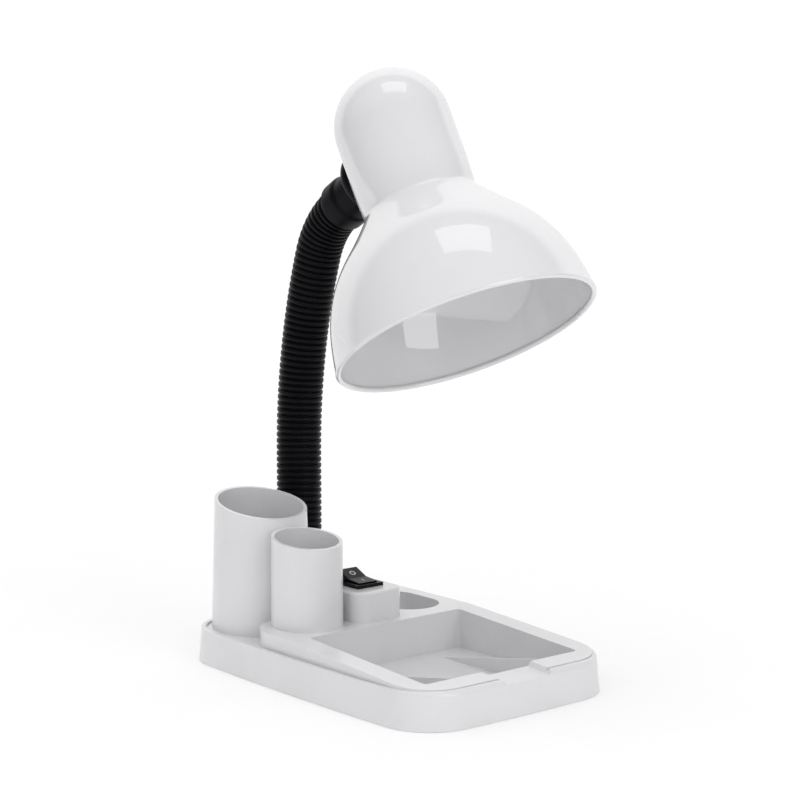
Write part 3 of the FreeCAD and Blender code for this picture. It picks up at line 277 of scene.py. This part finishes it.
sleeves = []
for number in range(HOSE_PIECES + 1):
    start = max(NECK_START, (number - 0.5) * PIECE_LENGTH)
    end = min(NECK_END, (number + 0.5) * PIECE_LENGTH)
    before, after = neck_body(max(number - 1, 0)), neck_body(min(number, HOSE_PIECES - 1))
    sleeve = sleeve_length("neck_sleeve_%02d" % number, start, end, before, after,
                           downward=number == STATED_DOWNWARD)
    sleeves.append(sleeve)
    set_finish(sleeve, "black_hose")
    if number < HOSE_PIECES:
        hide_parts("neck_hose_%02d" % number)
print("sleeve lengths", len(sleeves), "faces", sum(len(s.data.polygons) for s in sleeves))

# %% [markdown]
# Two places carry the turned pieces of the head. The shade's stands in the middle of its rim, with
# Z up the shade's leaning axis. The stub's stands where the end of the neck meets that axis, with
# Z straight out of the shade's back, through rosette and collar.

# %% Shade frame
SHADE_TILT = math.radians(29.04)
SHADE_UP = np.array([0, math.sin(SHADE_TILT), math.cos(SHADE_TILT)])
SHADE_BACK = np.array([0, math.cos(SHADE_TILT), -math.sin(SHADE_TILT)])
RIM_MIDDLE = np.array([4.0, -45.0, 155.9]) * MM
STUB_HEIGHT = 88.8 * MM


def place_of(*columns):
    """4x4 matrix whose columns are three axes and an origin."""
    place = np.eye(4)
    place[:3] = np.stack(columns, 1)
    return place


shade_place = place_of(X_AXIS, SHADE_BACK, SHADE_UP, RIM_MIDDLE)
stub_place = place_of(X_AXIS, -SHADE_UP, SHADE_BACK, RIM_MIDDLE + STUB_HEIGHT * SHADE_UP)
print("shade leans", round(math.degrees(SHADE_TILT), 1), "degrees")

# %% [markdown]
# The shade is one spun sheet: bell, straight neck and dome, with its rim rolled inwards. Where
# bell and neck meet the sheet turns sharply, so that crease gets only a small round. The section
# is drawn once, inside and outside, and turned about the shade's axis.

# %% Shade skin
BELL_RADIUS, BELL_CURVE, BELL_STRAIGHT = 58.1, 72.7, 48.0
SHADE_NECK, DOME_FOOT, SHEET = 26.3, 102.4, 1.2
CREASE_OUT, CREASE_IN = 1.5, 1.0
BELL_STEPS, LINE_STEPS, CREASE_STEPS, WALL_STEPS, DOME_STEPS = 36, 10, 6, 16, 30
LINE_SPAN, WALL_SPAN = (0.1, 0.95), (0.05, 1)
BEAD, BEAD_FROM, BEAD_TO, BEAD_STEPS = 1.2, 118, 370, 26
RIM_RADIUS, FLARE_REACH = 58.9, 14.0
SLACK, SLACK_AT, SLACK_WIDTH = 1.3, 54.0, 13.0
SEAM_LIFT, SEAM_IN, SEAM_DROP = 0.3, 0.02, 0.25
SHADE_SIDES = 224


def bell_side(inset, crease_reach):
    """(radius, height) points of bell, neck and dome drawn in by inset: an arc, its tangent line
    to the neck, a small round at the crease, the neck's wall and a quarter circle to the axis."""
    curve, neck = BELL_CURVE - inset, SHADE_NECK - inset
    lean = math.asin(BELL_STRAIGHT / BELL_CURVE)
    turn = np.linspace(0, lean, BELL_STEPS)
    bell = np.stack([BELL_RADIUS - BELL_CURVE + curve * np.cos(turn), curve * np.sin(turn)], 1)
    bend = bell[-1]
    crease = np.array([neck, bend[1] + (bend[0] - neck) / math.tan(lean)])
    start = crease + (bend - crease) / np.linalg.norm(bend - crease) * crease_reach
    end = crease + np.array([0, crease_reach])
    line = bend + (start - bend) * np.linspace(*LINE_SPAN, LINE_STEPS)[:, None]
    foot = np.array([neck, DOME_FOOT])
    wall = end + (foot - end) * np.linspace(*WALL_SPAN, WALL_STEPS)[:, None]
    quarter = np.linspace(0, math.pi / 2, DOME_STEPS)[1:]
    dome = foot + neck * np.stack([np.cos(quarter) - 1, np.sin(quarter)], 1)
    return np.concatenate([bell, line, rounded(start, crease, end, CREASE_STEPS), wall, dome])


def bead_round():
    """Rolled rim: seven tenths of a circle from the fine seam against the inner wall, round the
    foot, to the outside, where the bell's skin runs into it."""
    turn = np.radians(np.linspace(BEAD_FROM, BEAD_TO, BEAD_STEPS))
    middle = np.array([RIM_RADIUS - BEAD, BEAD])
    return middle + BEAD * np.stack([np.cos(turn), np.sin(turn)], 1)


def flared(side, lift):
    """Skin from the lift above the bead upwards. Its lowest stretch widens to the rim: the added
    radius is flare * (1 - h / reach)^2 at height h. Its shoulder is taken in by
    slack * exp(-((h - at) / width)^2)."""
    side = side[side[:, 1] > 2 * BEAD + lift].copy()
    share = np.clip(1 - side[:, 1] / FLARE_REACH, 0, None)
    side[:, 0] += (RIM_RADIUS - BELL_RADIUS) * share ** 2
    side[:, 0] -= SLACK * np.exp(-((side[:, 1] - SLACK_AT) / SLACK_WIDTH) ** 2)
    return side


inner = flared(bell_side(SHEET, CREASE_IN), SEAM_LIFT)
outer = flared(bell_side(0, CREASE_OUT), 0)
seam = inner[:1] - np.array([SEAM_IN, SEAM_DROP])
section = np.concatenate([inner[::-1], seam, bead_round(), outer])
section[0, 0] = section[-1, 0] = 0.0
shade_skin = turned("shade_skin", section, shade_place, SHADE_SIDES, closed=False)
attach(shade_skin, "shade")
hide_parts("shade")
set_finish(shade_skin, "shade_paint")
print("shade section points", len(section), "faces", len(shade_skin.data.polygons))

# %% [markdown]
# Collar and rosette are turned black mouldings. The rosette's foot is cut to the round of the
# shade's neck: each point of its inner end is pushed out to where the neck's cylinder is, at a
# depth of the square root of R^2 - x^2 from the shade's axis.

# %% Collar and rosette
COLLAR_SIDES, ROSETTE_SIDES, NECK_CLEARANCE = 96, 112, 0.02

collar_outline = soften([(5.08, 30.5, 0.2), (10.9, 30.5, 0.7), (10.9, 39.8, 1.2),
                         (11.9, 41.2, 1.2), (11.9, 49.4, 0.8), (7.6, 49.4, 0.3),
                         (7.6, 43.7, 0.2), (5.08, 43.7, 0.2)], steps=4)
collar = turned("neck_collar_sleeve", collar_outline, stub_place, COLLAR_SIDES)
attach(collar, "neck_12")
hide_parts("neck_collar")
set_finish(collar, "black_plastic")

rosette_outline = soften([(5.1, 20.0, 0.2), (16.0, 20.0, 0.3), (16.0, 27.4, 2.4),
                          (9.0, 30.2, 1.2), (5.1, 30.2, 0.2)], steps=6)
across = rosette_outline[:, :1] * np.cos(round_steps(ROSETTE_SIDES))
neck_depth = np.sqrt(np.clip((SHADE_NECK + NECK_CLEARANCE) ** 2 - across ** 2, 0, None))
rosette = turned("shade_rosette_cap", rosette_outline, stub_place, ROSETTE_SIDES,
                 height=np.maximum(rosette_outline[:, 1:], neck_depth))
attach(rosette, "shade")
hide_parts("shade_rosette")
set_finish(rosette, "black_plastic")
print("collar and rosette", len(collar.data.polygons), len(rosette.data.polygons))

# %% [markdown]
# The base is one injection moulding. The CAD solid already has its form, so a copy is merged and
# gets what a mould always leaves: a small round on every edge, made by a Bevel modifier. A
# Weighted Normal modifier keeps the large faces flat beside those rounds.

# %% Base moulding
MERGE_REACH, FLAT_ANGLE, SHARP_ANGLE = 2e-6, math.radians(0.6), math.radians(30)
EDGE_ROUND, EDGE_STEPS, FLAT_WEIGHT = 0.45, 2, 80


def rounded_copy(node, name):
    """Merged copy of a CAD node with its sharp edges rounded, in the node's place."""
    mesh = nodes[node].data.copy()
    mesh.name = name
    work = bmesh.new()
    work.from_mesh(mesh)
    bmesh.ops.remove_doubles(work, verts=work.verts, dist=MERGE_REACH)
    bmesh.ops.dissolve_limit(work, angle_limit=FLAT_ANGLE, verts=work.verts, edges=work.edges)
    for face in work.faces:
        face.smooth = True
    for edge in work.edges:
        edge.smooth = not (edge.is_manifold and edge.calc_face_angle(0) > SHARP_ANGLE)
    work.to_mesh(mesh)
    work.free()
    piece = bpy.data.objects.new(name, mesh)
    bpy.context.scene.collection.objects.link(piece)
    bevel = piece.modifiers.new("edge_round", "BEVEL")
    bevel.width = EDGE_ROUND * MM
    bevel.segments = EDGE_STEPS
    bevel.limit_method = "ANGLE"
    bevel.angle_limit = SHARP_ANGLE
    bevel.use_clamp_overlap = True
    weights = piece.modifiers.new("flat_first", "WEIGHTED_NORMAL")
    weights.mode = "FACE_AREA"
    weights.weight = FLAT_WEIGHT
    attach(piece, nodes[node]["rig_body"])
    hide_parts(node)
    return piece


base_skin = rounded_copy("base_shell", "base_moulding")
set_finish(base_skin, "white_plastic")
print("base faces", len(base_skin.data.polygons))

# %% [markdown]
# The rocker carries the two usual marks, a ring on its far half and a bar on its near half, sunk
# in its faces. Each is filled with white: a filling has the outline of its groove and stands from
# the groove's floor to just under the face. A ray cast down finds the rocker's plane: on the face
# inside the ring, and on the groove's floor in the bar.

# %% Switch marks
RING_OUT, RING_IN, BAR_LONG, BAR_WIDE = 1.5, 1.05, 3.0, 0.45
MARK_DEPTH, EASE, MARK_SIDES, BAR_SLIT = 0.35, 0.02, 48, (0.02, 0.9)
RING_SPOT, BAR_SPOT, RAY_START = (1.5, 31.45), (1.5, 23.92), 0.08


def filled_mark(name, spot, outer, inner, floor):
    """Filling between two outlines of (u, v) points: spot + u X + v (N x X) + h N, with h from the
    groove's floor to its depth less the ease, and N the normal where the ray lands."""
    rocker = nodes["switch_rocker"]
    bpy.context.view_layer.update()
    into = rocker.matrix_world.inverted()
    above = into @ Vector((spot[0] * MM, spot[1] * MM, RAY_START))
    _, place, normal, _ = rocker.ray_cast(above, into.to_3x3() @ Vector((0, 0, -1)))
    place = np.array(rocker.matrix_world @ place)
    normal = np.array((rocker.matrix_world.to_3x3() @ normal).normalized())
    along = np.cross(normal, X_AXIS)
    low, high = floor + EASE, floor + MARK_DEPTH - EASE
    rows = [ring[:, :1] * X_AXIS + ring[:, 1:] * along + height * normal
            for ring, height in ((outer, low), (outer, high), (inner, high), (inner, low))]
    mark = outward(make_piece(name, np.concatenate(rows) * MM + place,
                              ring_faces(len(rows), len(outer)), smooth=False))
    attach(mark, "rocker")
    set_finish(mark, "white_plastic")
    return mark


circle = np.stack([np.cos(round_steps(MARK_SIDES)), np.sin(round_steps(MARK_SIDES))], 1)
bar = circle * (BAR_WIDE / 2 - EASE)
bar[:, 1] += np.where(circle[:, 1] > 0, 1, -1) * (BAR_LONG - BAR_WIDE) / 2
marks = [filled_mark("off_mark", RING_SPOT, circle * (RING_OUT - EASE),
                     circle * (RING_IN + EASE), -MARK_DEPTH),
         filled_mark("on_mark", BAR_SPOT, bar, bar * np.array(BAR_SLIT), 0.0)]
print("marks", [m.name for m in marks])

# %% [markdown]
# Every finish uses the same three effects with its own numbers: a fine moulded or drawn grain,
# the smudges and hair scratches of handling, and a little dust on what faces up. Each is a node
# group with named inputs, built once. The grain adds a fine noise and a share of a wide one.

# %% Effect groups
def new_group(name, inputs, outputs):
    """Shader node group with float inputs given as (name, value) and named float outputs."""
    group = bpy.data.node_groups.new(name, "ShaderNodeTree")
    sockets = group.interface
    for label, value in inputs:
        socket = sockets.new_socket(label, in_out="INPUT", socket_type="NodeSocketFloat")
        socket.default_value = value
    for label in outputs:
        sockets.new_socket(label, in_out="OUTPUT", socket_type="NodeSocketFloat")
    start = group.nodes.new("NodeGroupInput")
    end = group.nodes.new("NodeGroupOutput")
    return group, start, end


def add_node(tree, kind, numbered=None, **settings):
    """Node of a kind. A setting goes to the property of its name or else to the socket of its
    name; numbered holds the values of sockets that are known by their number."""
    node = tree.nodes.new(kind)
    for label, value in settings.items():
        if hasattr(node, label):
            setattr(node, label, value)
        else:
            node.inputs[label.replace("_", " ")].default_value = value
    for number, value in (numbered or {}).items():
        node.inputs[number].default_value = value
    return node


def join_up(tree, *pairs):
    """Links given as (from socket, to socket)."""
    for source, target in pairs:
        tree.links.new(source, target)


grain_group, grain_in, grain_out = new_group("surface_grain", [("Scale", 900.0), ("Coarse", 0.3)],
                                             ["Height"])
grain_place = add_node(grain_group, "ShaderNodeTexCoord")
grain_fine = add_node(grain_group, "ShaderNodeTexNoise", Detail=3.0, Roughness=0.6)
grain_wide = add_node(grain_group, "ShaderNodeTexNoise", Scale=60.0, Detail=2.0)
grain_mix = add_node(grain_group, "ShaderNodeMath", operation="MULTIPLY_ADD")
join_up(grain_group, (grain_place.outputs["Object"], grain_fine.inputs["Vector"]),
        (grain_place.outputs["Object"], grain_wide.inputs["Vector"]),
        (grain_in.outputs["Scale"], grain_fine.inputs["Scale"]),
        (grain_wide.outputs["Fac"], grain_mix.inputs[0]),
        (grain_in.outputs["Coarse"], grain_mix.inputs[1]),
        (grain_fine.outputs["Fac"], grain_mix.inputs[2]),
        (grain_mix.outputs[0], grain_out.inputs["Height"]))
print("groups", [g.name for g in bpy.data.node_groups])

# %% [markdown]
# Handling leaves broad greasy smudges and short fine scratches. One group gives both as masks on
# Object coordinates: a blurred noise for the smudges, a stretched noise for the scratches.

# %% Handling marks
marks_group, marks_in, marks_out = new_group("handling_marks", [("Smudge Scale", 18.0),
                                                                ("Scratch Scale", 90.0)],
                                             ["Smudge", "Scratch"])
marks_place = add_node(marks_group, "ShaderNodeTexCoord")
smudge_noise = add_node(marks_group, "ShaderNodeTexNoise", Detail=5.0, Roughness=0.65,
                        Distortion=0.6)
smudge_ramp = add_node(marks_group, "ShaderNodeMapRange", From_Min=0.42, From_Max=0.72)
scratch_turn = add_node(marks_group, "ShaderNodeMapping", Rotation=(0.5, 0.3, 0.8),
                        Scale=(1.0, 14.0, 3.0))
scratch_noise = add_node(marks_group, "ShaderNodeTexNoise", Detail=1.0)
scratch_ramp = add_node(marks_group, "ShaderNodeMapRange", From_Min=0.70, From_Max=0.76)
join_up(marks_group, (marks_place.outputs["Object"], smudge_noise.inputs["Vector"]),
        (marks_in.outputs["Smudge Scale"], smudge_noise.inputs["Scale"]),
        (smudge_noise.outputs["Fac"], smudge_ramp.inputs["Value"]),
        (smudge_ramp.outputs["Result"], marks_out.inputs["Smudge"]),
        (marks_place.outputs["Object"], scratch_turn.inputs["Vector"]),
        (scratch_turn.outputs["Vector"], scratch_noise.inputs["Vector"]),
        (marks_in.outputs["Scratch Scale"], scratch_noise.inputs["Scale"]),
        (scratch_noise.outputs["Fac"], scratch_ramp.inputs["Value"]),
        (scratch_ramp.outputs["Result"], marks_out.inputs["Scratch"]))
print("groups", [g.name for g in bpy.data.node_groups])

# %% [markdown]
# Dust lies on what faces up. Its mask is the upward part of the normal, times a noise.

# %% Settled dust
dust_group, dust_in, dust_out = new_group("settled_dust", [("Patch Scale", 30.0)], ["Dust"])
dust_place = add_node(dust_group, "ShaderNodeTexCoord")
dust_up = add_node(dust_group, "ShaderNodeSeparateXYZ")
dust_slope = add_node(dust_group, "ShaderNodeMapRange", From_Min=0.55, From_Max=1.0)
dust_noise = add_node(dust_group, "ShaderNodeTexNoise", Detail=6.0, Roughness=0.7)
dust_mix = add_node(dust_group, "ShaderNodeMath", operation="MULTIPLY")
join_up(dust_group, (dust_place.outputs["Normal"], dust_up.inputs["Vector"]),
        (dust_up.outputs["Z"], dust_slope.inputs["Value"]),
        (dust_place.outputs["Object"], dust_noise.inputs["Vector"]),
        (dust_in.outputs["Patch Scale"], dust_noise.inputs["Scale"]),
        (dust_slope.outputs["Result"], dust_mix.inputs[0]),
        (dust_noise.outputs["Fac"], dust_mix.inputs[1]),
        (dust_mix.outputs[0], dust_out.inputs["Dust"]))
print("groups", [g.name for g in bpy.data.node_groups])

# %% [markdown]
# A finish is a Principled surface fed by those groups. Smudges lift the roughness in patches,
# scratches lighten black plastic and catch light, dust greys what faces up, and the grain bends
# the light through a Bump node. Only the numbers differ from one finish to the next.

# %% Finish builder
DUST_GREY = (0.55, 0.54, 0.52, 1)
SCRATCH_GAIN, SCRATCH_LIFT = 1.1, 0.06


def finish(name, colour, shift, rough, rough_more, grain_scale, grain_height, coarse=0.3,
           metal=0.0, coat=0.0, coat_ior=1.5, coat_rough=0.03, shine=0.5, dust=0.05,
           scratch=0.03, smudge_scale=18.0):
    """Material from a base colour, the colour it shifts to in smudges, and its numbers. The
    roughness is rough + rough_more * smudge; the grain's height is in millimetres."""
    material = bpy.data.materials.new(name)
    material.use_nodes = True
    tree = material.node_tree
    surface = tree.nodes["Principled BSDF"]
    for label, value in (("Metallic", metal), ("Specular IOR Level", shine), ("Coat Weight", coat),
                         ("Coat Roughness", coat_rough), ("Coat IOR", coat_ior)):
        surface.inputs[label].default_value = value
    marks = add_node(tree, "ShaderNodeGroup", node_tree=marks_group, Smudge_Scale=smudge_scale)
    dusty = add_node(tree, "ShaderNodeGroup", node_tree=dust_group)
    grain = add_node(tree, "ShaderNodeGroup", node_tree=grain_group, Scale=grain_scale,
                     Coarse=coarse)
    scratched = tuple(min(1.0, c * SCRATCH_GAIN + SCRATCH_LIFT) for c in colour)
    patch = add_node(tree, "ShaderNodeMix", data_type="RGBA", A=(*colour, 1), B=(*shift, 1))
    worn = add_node(tree, "ShaderNodeMix", data_type="RGBA", B=(*scratched, 1))
    greyed = add_node(tree, "ShaderNodeMix", data_type="RGBA", B=DUST_GREY)
    scratch_share = add_node(tree, "ShaderNodeMath", {1: scratch}, operation="MULTIPLY")
    dust_share = add_node(tree, "ShaderNodeMath", {1: dust}, operation="MULTIPLY")
    roughness = add_node(tree, "ShaderNodeMath", {1: rough_more, 2: rough},
                         operation="MULTIPLY_ADD")
    bump = add_node(tree, "ShaderNodeBump", Strength=1.0, Distance=grain_height * MM)
    join_up(tree, (marks.outputs["Smudge"], patch.inputs["Factor"]),
            (patch.outputs["Result"], worn.inputs["A"]),
            (marks.outputs["Scratch"], scratch_share.inputs[0]),
            (scratch_share.outputs[0], worn.inputs["Factor"]),
            (worn.outputs["Result"], greyed.inputs["A"]),
            (dusty.outputs["Dust"], dust_share.inputs[0]),
            (dust_share.outputs[0], greyed.inputs["Factor"]),
            (greyed.outputs["Result"], surface.inputs["Base Color"]),
            (marks.outputs["Smudge"], roughness.inputs[0]),
            (roughness.outputs[0], surface.inputs["Roughness"]),
            (grain.outputs["Height"], bump.inputs["Height"]),
            (bump.outputs["Normal"], surface.inputs["Normal"]))
    return material


print("finish builder ready")

# %% [markdown]
# One finish for each material slot of the record. White and black were set against the
# photograph; what can't be seen there has the usual look of its material.

# %% Finishes
finishes = {
    "white_plastic": finish(
        "base_white", (0.70, 0.70, 0.715), (0.66, 0.66, 0.67), rough=0.30, rough_more=0.10,
        grain_scale=1400.0, grain_height=0.012, coat=0.7, coat_ior=1.6, coat_rough=0.12,
        shine=0.2, dust=0.03),
    "shade_paint": finish(
        "shade_enamel", (0.72, 0.72, 0.735), (0.70, 0.70, 0.715), rough=0.22, rough_more=0.06,
        grain_scale=260.0, grain_height=0.006, coarse=0.8, coat=1.0, coat_ior=1.85, shine=0.1,
        dust=0.02, scratch=0.01),
    "black_plastic": finish(
        "black_moulding", (0.003, 0.003, 0.0045), (0.005, 0.005, 0.007), rough=0.36,
        rough_more=0.14, grain_scale=1600.0, grain_height=0.015, shine=0.1, dust=0.003),
    "black_hose": finish(
        "hose_black", (0.003, 0.003, 0.0045), (0.006, 0.006, 0.008), rough=0.34,
        rough_more=0.16, grain_scale=1500.0, grain_height=0.02, shine=0.1, dust=0.003,
        smudge_scale=30.0),
    "core_steel": finish(
        "core_oiled_steel", (0.23, 0.23, 0.24), (0.17, 0.16, 0.15), rough=0.34, rough_more=0.2,
        grain_scale=900.0, grain_height=0.02, metal=1.0),
    "switch_plastic": finish(
        "switch_black", (0.004, 0.004, 0.005), (0.006, 0.006, 0.008), rough=0.32,
        rough_more=0.14, grain_scale=2200.0, grain_height=0.012, shine=0.18, dust=0.004),
    "foot_rubber": finish(
        "foot_rubber", (0.035, 0.035, 0.036), (0.06, 0.058, 0.055), rough=0.7, rough_more=0.15,
        grain_scale=1100.0, grain_height=0.06),
    "weight_iron": finish(
        "weight_cast_iron", (0.12, 0.12, 0.125), (0.16, 0.13, 0.11), rough=0.6, rough_more=0.2,
        grain_scale=500.0, grain_height=0.25, metal=0.7),
    "brass": finish(
        "contact_brass", (0.62, 0.44, 0.17), (0.50, 0.33, 0.12), rough=0.25, rough_more=0.2,
        grain_scale=1200.0, grain_height=0.01, metal=1.0),
    "holder_plastic": finish(
        "holder_moulding", (0.68, 0.68, 0.66), (0.62, 0.61, 0.58), rough=0.25, rough_more=0.12,
        grain_scale=1200.0, grain_height=0.012),
    "lead_cover": finish(
        "lead_cover", (0.06, 0.06, 0.062), (0.09, 0.09, 0.09), rough=0.5, rough_more=0.15,
        grain_scale=900.0, grain_height=0.02),
    "zinc_steel": finish(
        "zinc_plate", (0.50, 0.50, 0.51), (0.42, 0.42, 0.42), rough=0.28, rough_more=0.2,
        grain_scale=1000.0, grain_height=0.012, metal=1.0),
}
print("finishes", len(finishes))

# %% [markdown]
# Each CAD node gets the finish of its slot in the record, and each new piece that of its own.

# %% Dress every piece
slot_of = {row["node"]: row["material_slot"] for row in frame["record"]["subparts"]}
for label, node in nodes.items():
    node.data.materials.clear()
    node.data.materials.append(finishes[slot_of[label]])
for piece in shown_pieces():
    if "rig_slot" in piece:
        piece.data.materials.clear()
        piece.data.materials.append(finishes[piece["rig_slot"]])

# %% [markdown]
# The picture is a studio shot on white paper. To the camera the paper fades into the backdrop: the
# share of plain white in it rises with the distance from the lamp.

# %% Paper floor
FLOOR_SIZE, PAPER_GLOW = 6.0, 1.02
FADE_START, FADE_END, FADE_FIRST = 0.10, 0.75, 0.45

floor = make_piece("stage_floor", np.array([(-1, -1, 0), (1, -1, 0), (1, 1, 0), (-1, 1, 0)])
                   * FLOOR_SIZE / 2, [(0, 1, 2, 3)], smooth=False)
paper = finish("floor_paper", (0.93, 0.93, 0.93), (0.91, 0.91, 0.91), rough=0.8, rough_more=0.1,
               grain_scale=40.0, grain_height=0.02, dust=0.0, scratch=0.0)
floor.data.materials.append(paper)

paper_tree = paper.node_tree
paper_place = add_node(paper_tree, "ShaderNodeTexCoord")
paper_reach = add_node(paper_tree, "ShaderNodeVectorMath", operation="LENGTH")
paper_fade = add_node(paper_tree, "ShaderNodeMapRange", interpolation_type="SMOOTHSTEP",
                      From_Min=FADE_START, From_Max=FADE_END, To_Min=FADE_FIRST)
paper_seen = add_node(paper_tree, "ShaderNodeLightPath")
paper_share = add_node(paper_tree, "ShaderNodeMath", operation="MULTIPLY")
paper_glow = add_node(paper_tree, "ShaderNodeEmission", Strength=PAPER_GLOW)
paper_mix = add_node(paper_tree, "ShaderNodeMixShader")
join_up(paper_tree, (paper_place.outputs["Object"], paper_reach.inputs[0]),
        (paper_reach.outputs["Value"], paper_fade.inputs["Value"]),
        (paper_fade.outputs["Result"], paper_share.inputs[0]),
        (paper_seen.outputs["Is Camera Ray"], paper_share.inputs[1]),
        (paper_share.outputs[0], paper_mix.inputs["Fac"]),
        (paper_tree.nodes["Principled BSDF"].outputs["BSDF"], paper_mix.inputs[1]),
        (paper_glow.outputs["Emission"], paper_mix.inputs[2]),
        (paper_mix.outputs["Shader"], paper_tree.nodes["Material Output"].inputs["Surface"]))
print("floor", FLOOR_SIZE, "m wide")

# %% [markdown]
# Three kinds of ray meet three worlds. The camera sees plain white. What a surface scatters comes
# from a glow above and a wide window on the left. What a surface mirrors is a dim ceiling and a
# bright screen behind the lamp, so that the black parts stay black and the coated white ones keep
# their edges.

# %% World
SEEN_WHITE = 1.05
CEILING_LOW, CEILING_HIGH, GLOW_LOW, GLOW_HIGH = 0.18, 0.42, 0.10, 1.10
WINDOW_WAY, WINDOW_START, WINDOW_END, WINDOW_GLOW = (-0.85, 0.10, 0.50), -0.2, 1.0, 0.45
SCREEN_WAY, SCREEN_START, SCREEN_END, SCREEN_GLOW = (0.64, 0.77, 0.0), 0.35, 0.60, 0.75

world = bpy.data.worlds.new("studio")
bpy.context.scene.world = world
world.use_nodes = True
world_tree = world.node_tree
backdrop = world_tree.nodes["Background"]
backdrop.inputs["Color"].default_value = (1.0, 1.0, 1.0, 1)
seen = add_node(world_tree, "ShaderNodeLightPath")
heading = add_node(world_tree, "ShaderNodeTexCoord")
rise = add_node(world_tree, "ShaderNodeSeparateXYZ")
join_up(world_tree, (heading.outputs["Generated"], rise.inputs["Vector"]))


def upward_glow(low, high):
    """Light that goes from low at the horizon to high straight above: low + (high - low) z."""
    glow = add_node(world_tree, "ShaderNodeMapRange", To_Min=low, To_Max=high)
    join_up(world_tree, (rise.outputs["Z"], glow.inputs["Value"]))
    return glow.outputs["Result"]


def patch_glow(way, start, end, most):
    """Light that rises smoothly from 0 to most while direction . way goes from start to end."""
    facing = add_node(world_tree, "ShaderNodeVectorMath", {1: way}, operation="DOT_PRODUCT")
    glow = add_node(world_tree, "ShaderNodeMapRange", interpolation_type="SMOOTHSTEP",
                    From_Min=start, From_Max=end, To_Max=most)
    join_up(world_tree, (heading.outputs["Generated"], facing.inputs[0]),
            (facing.outputs["Value"], glow.inputs["Value"]))
    return glow.outputs["Result"]


around = add_node(world_tree, "ShaderNodeMath", operation="ADD")
scattered = add_node(world_tree, "ShaderNodeMath", operation="ADD")
lit = add_node(world_tree, "ShaderNodeMix", data_type="FLOAT")
strength = add_node(world_tree, "ShaderNodeMix", data_type="FLOAT", B=SEEN_WHITE)
join_up(world_tree, (upward_glow(CEILING_LOW, CEILING_HIGH), around.inputs[0]),
        (patch_glow(SCREEN_WAY, SCREEN_START, SCREEN_END, SCREEN_GLOW), around.inputs[1]),
        (upward_glow(GLOW_LOW, GLOW_HIGH), scattered.inputs[0]),
        (patch_glow(WINDOW_WAY, WINDOW_START, WINDOW_END, WINDOW_GLOW), scattered.inputs[1]),
        (seen.outputs["Is Diffuse Ray"], lit.inputs["Factor"]),
        (around.outputs[0], lit.inputs["A"]),
        (scattered.outputs[0], lit.inputs["B"]),
        (seen.outputs["Is Camera Ray"], strength.inputs["Factor"]),
        (lit.outputs["Result"], strength.inputs["A"]),
        (strength.outputs["Result"], backdrop.inputs["Strength"]))
bpy.context.scene.view_settings.view_transform = "Standard"
print("world nodes", len(world_tree.nodes))

# %% [markdown]
# Two soft boxes were placed by the reflections they leave: one overhead, which shows as a slanted
# window on the bell, and a tall one in front, which shows as an upright streak inside the bell.

# %% Soft boxes
def soft_box(name, place, aim, width, height, power, turn=0.0):
    """Rectangular light at a place, turned to its aim and then by an angle about its own axis."""
    data = bpy.data.lights.new(name, "AREA")
    data.shape = "RECTANGLE"
    data.size, data.size_y, data.energy = width, height, power
    light = bpy.data.objects.new(name, data)
    light.location = place
    light.rotation_mode = "QUATERNION"
    facing = (Vector(aim) - Vector(place)).to_track_quat("-Z", "Y")
    light.rotation_quaternion = facing @ Quaternion((0, 0, 1), math.radians(turn))
    bpy.context.scene.collection.objects.link(light)
    return light


boxes = [soft_box("soft_box_overhead", (-0.063, -0.126, 1.50), (-0.024, -0.074, 0.2),
                  width=0.79, height=0.585, power=1.45, turn=3),
         soft_box("soft_box_front", (0.0, -1.40, 0.62), (0.02, 0.0, 0.62),
                  width=0.80, height=1.2, power=5.6)]
print("lights", [box.name for box in boxes])
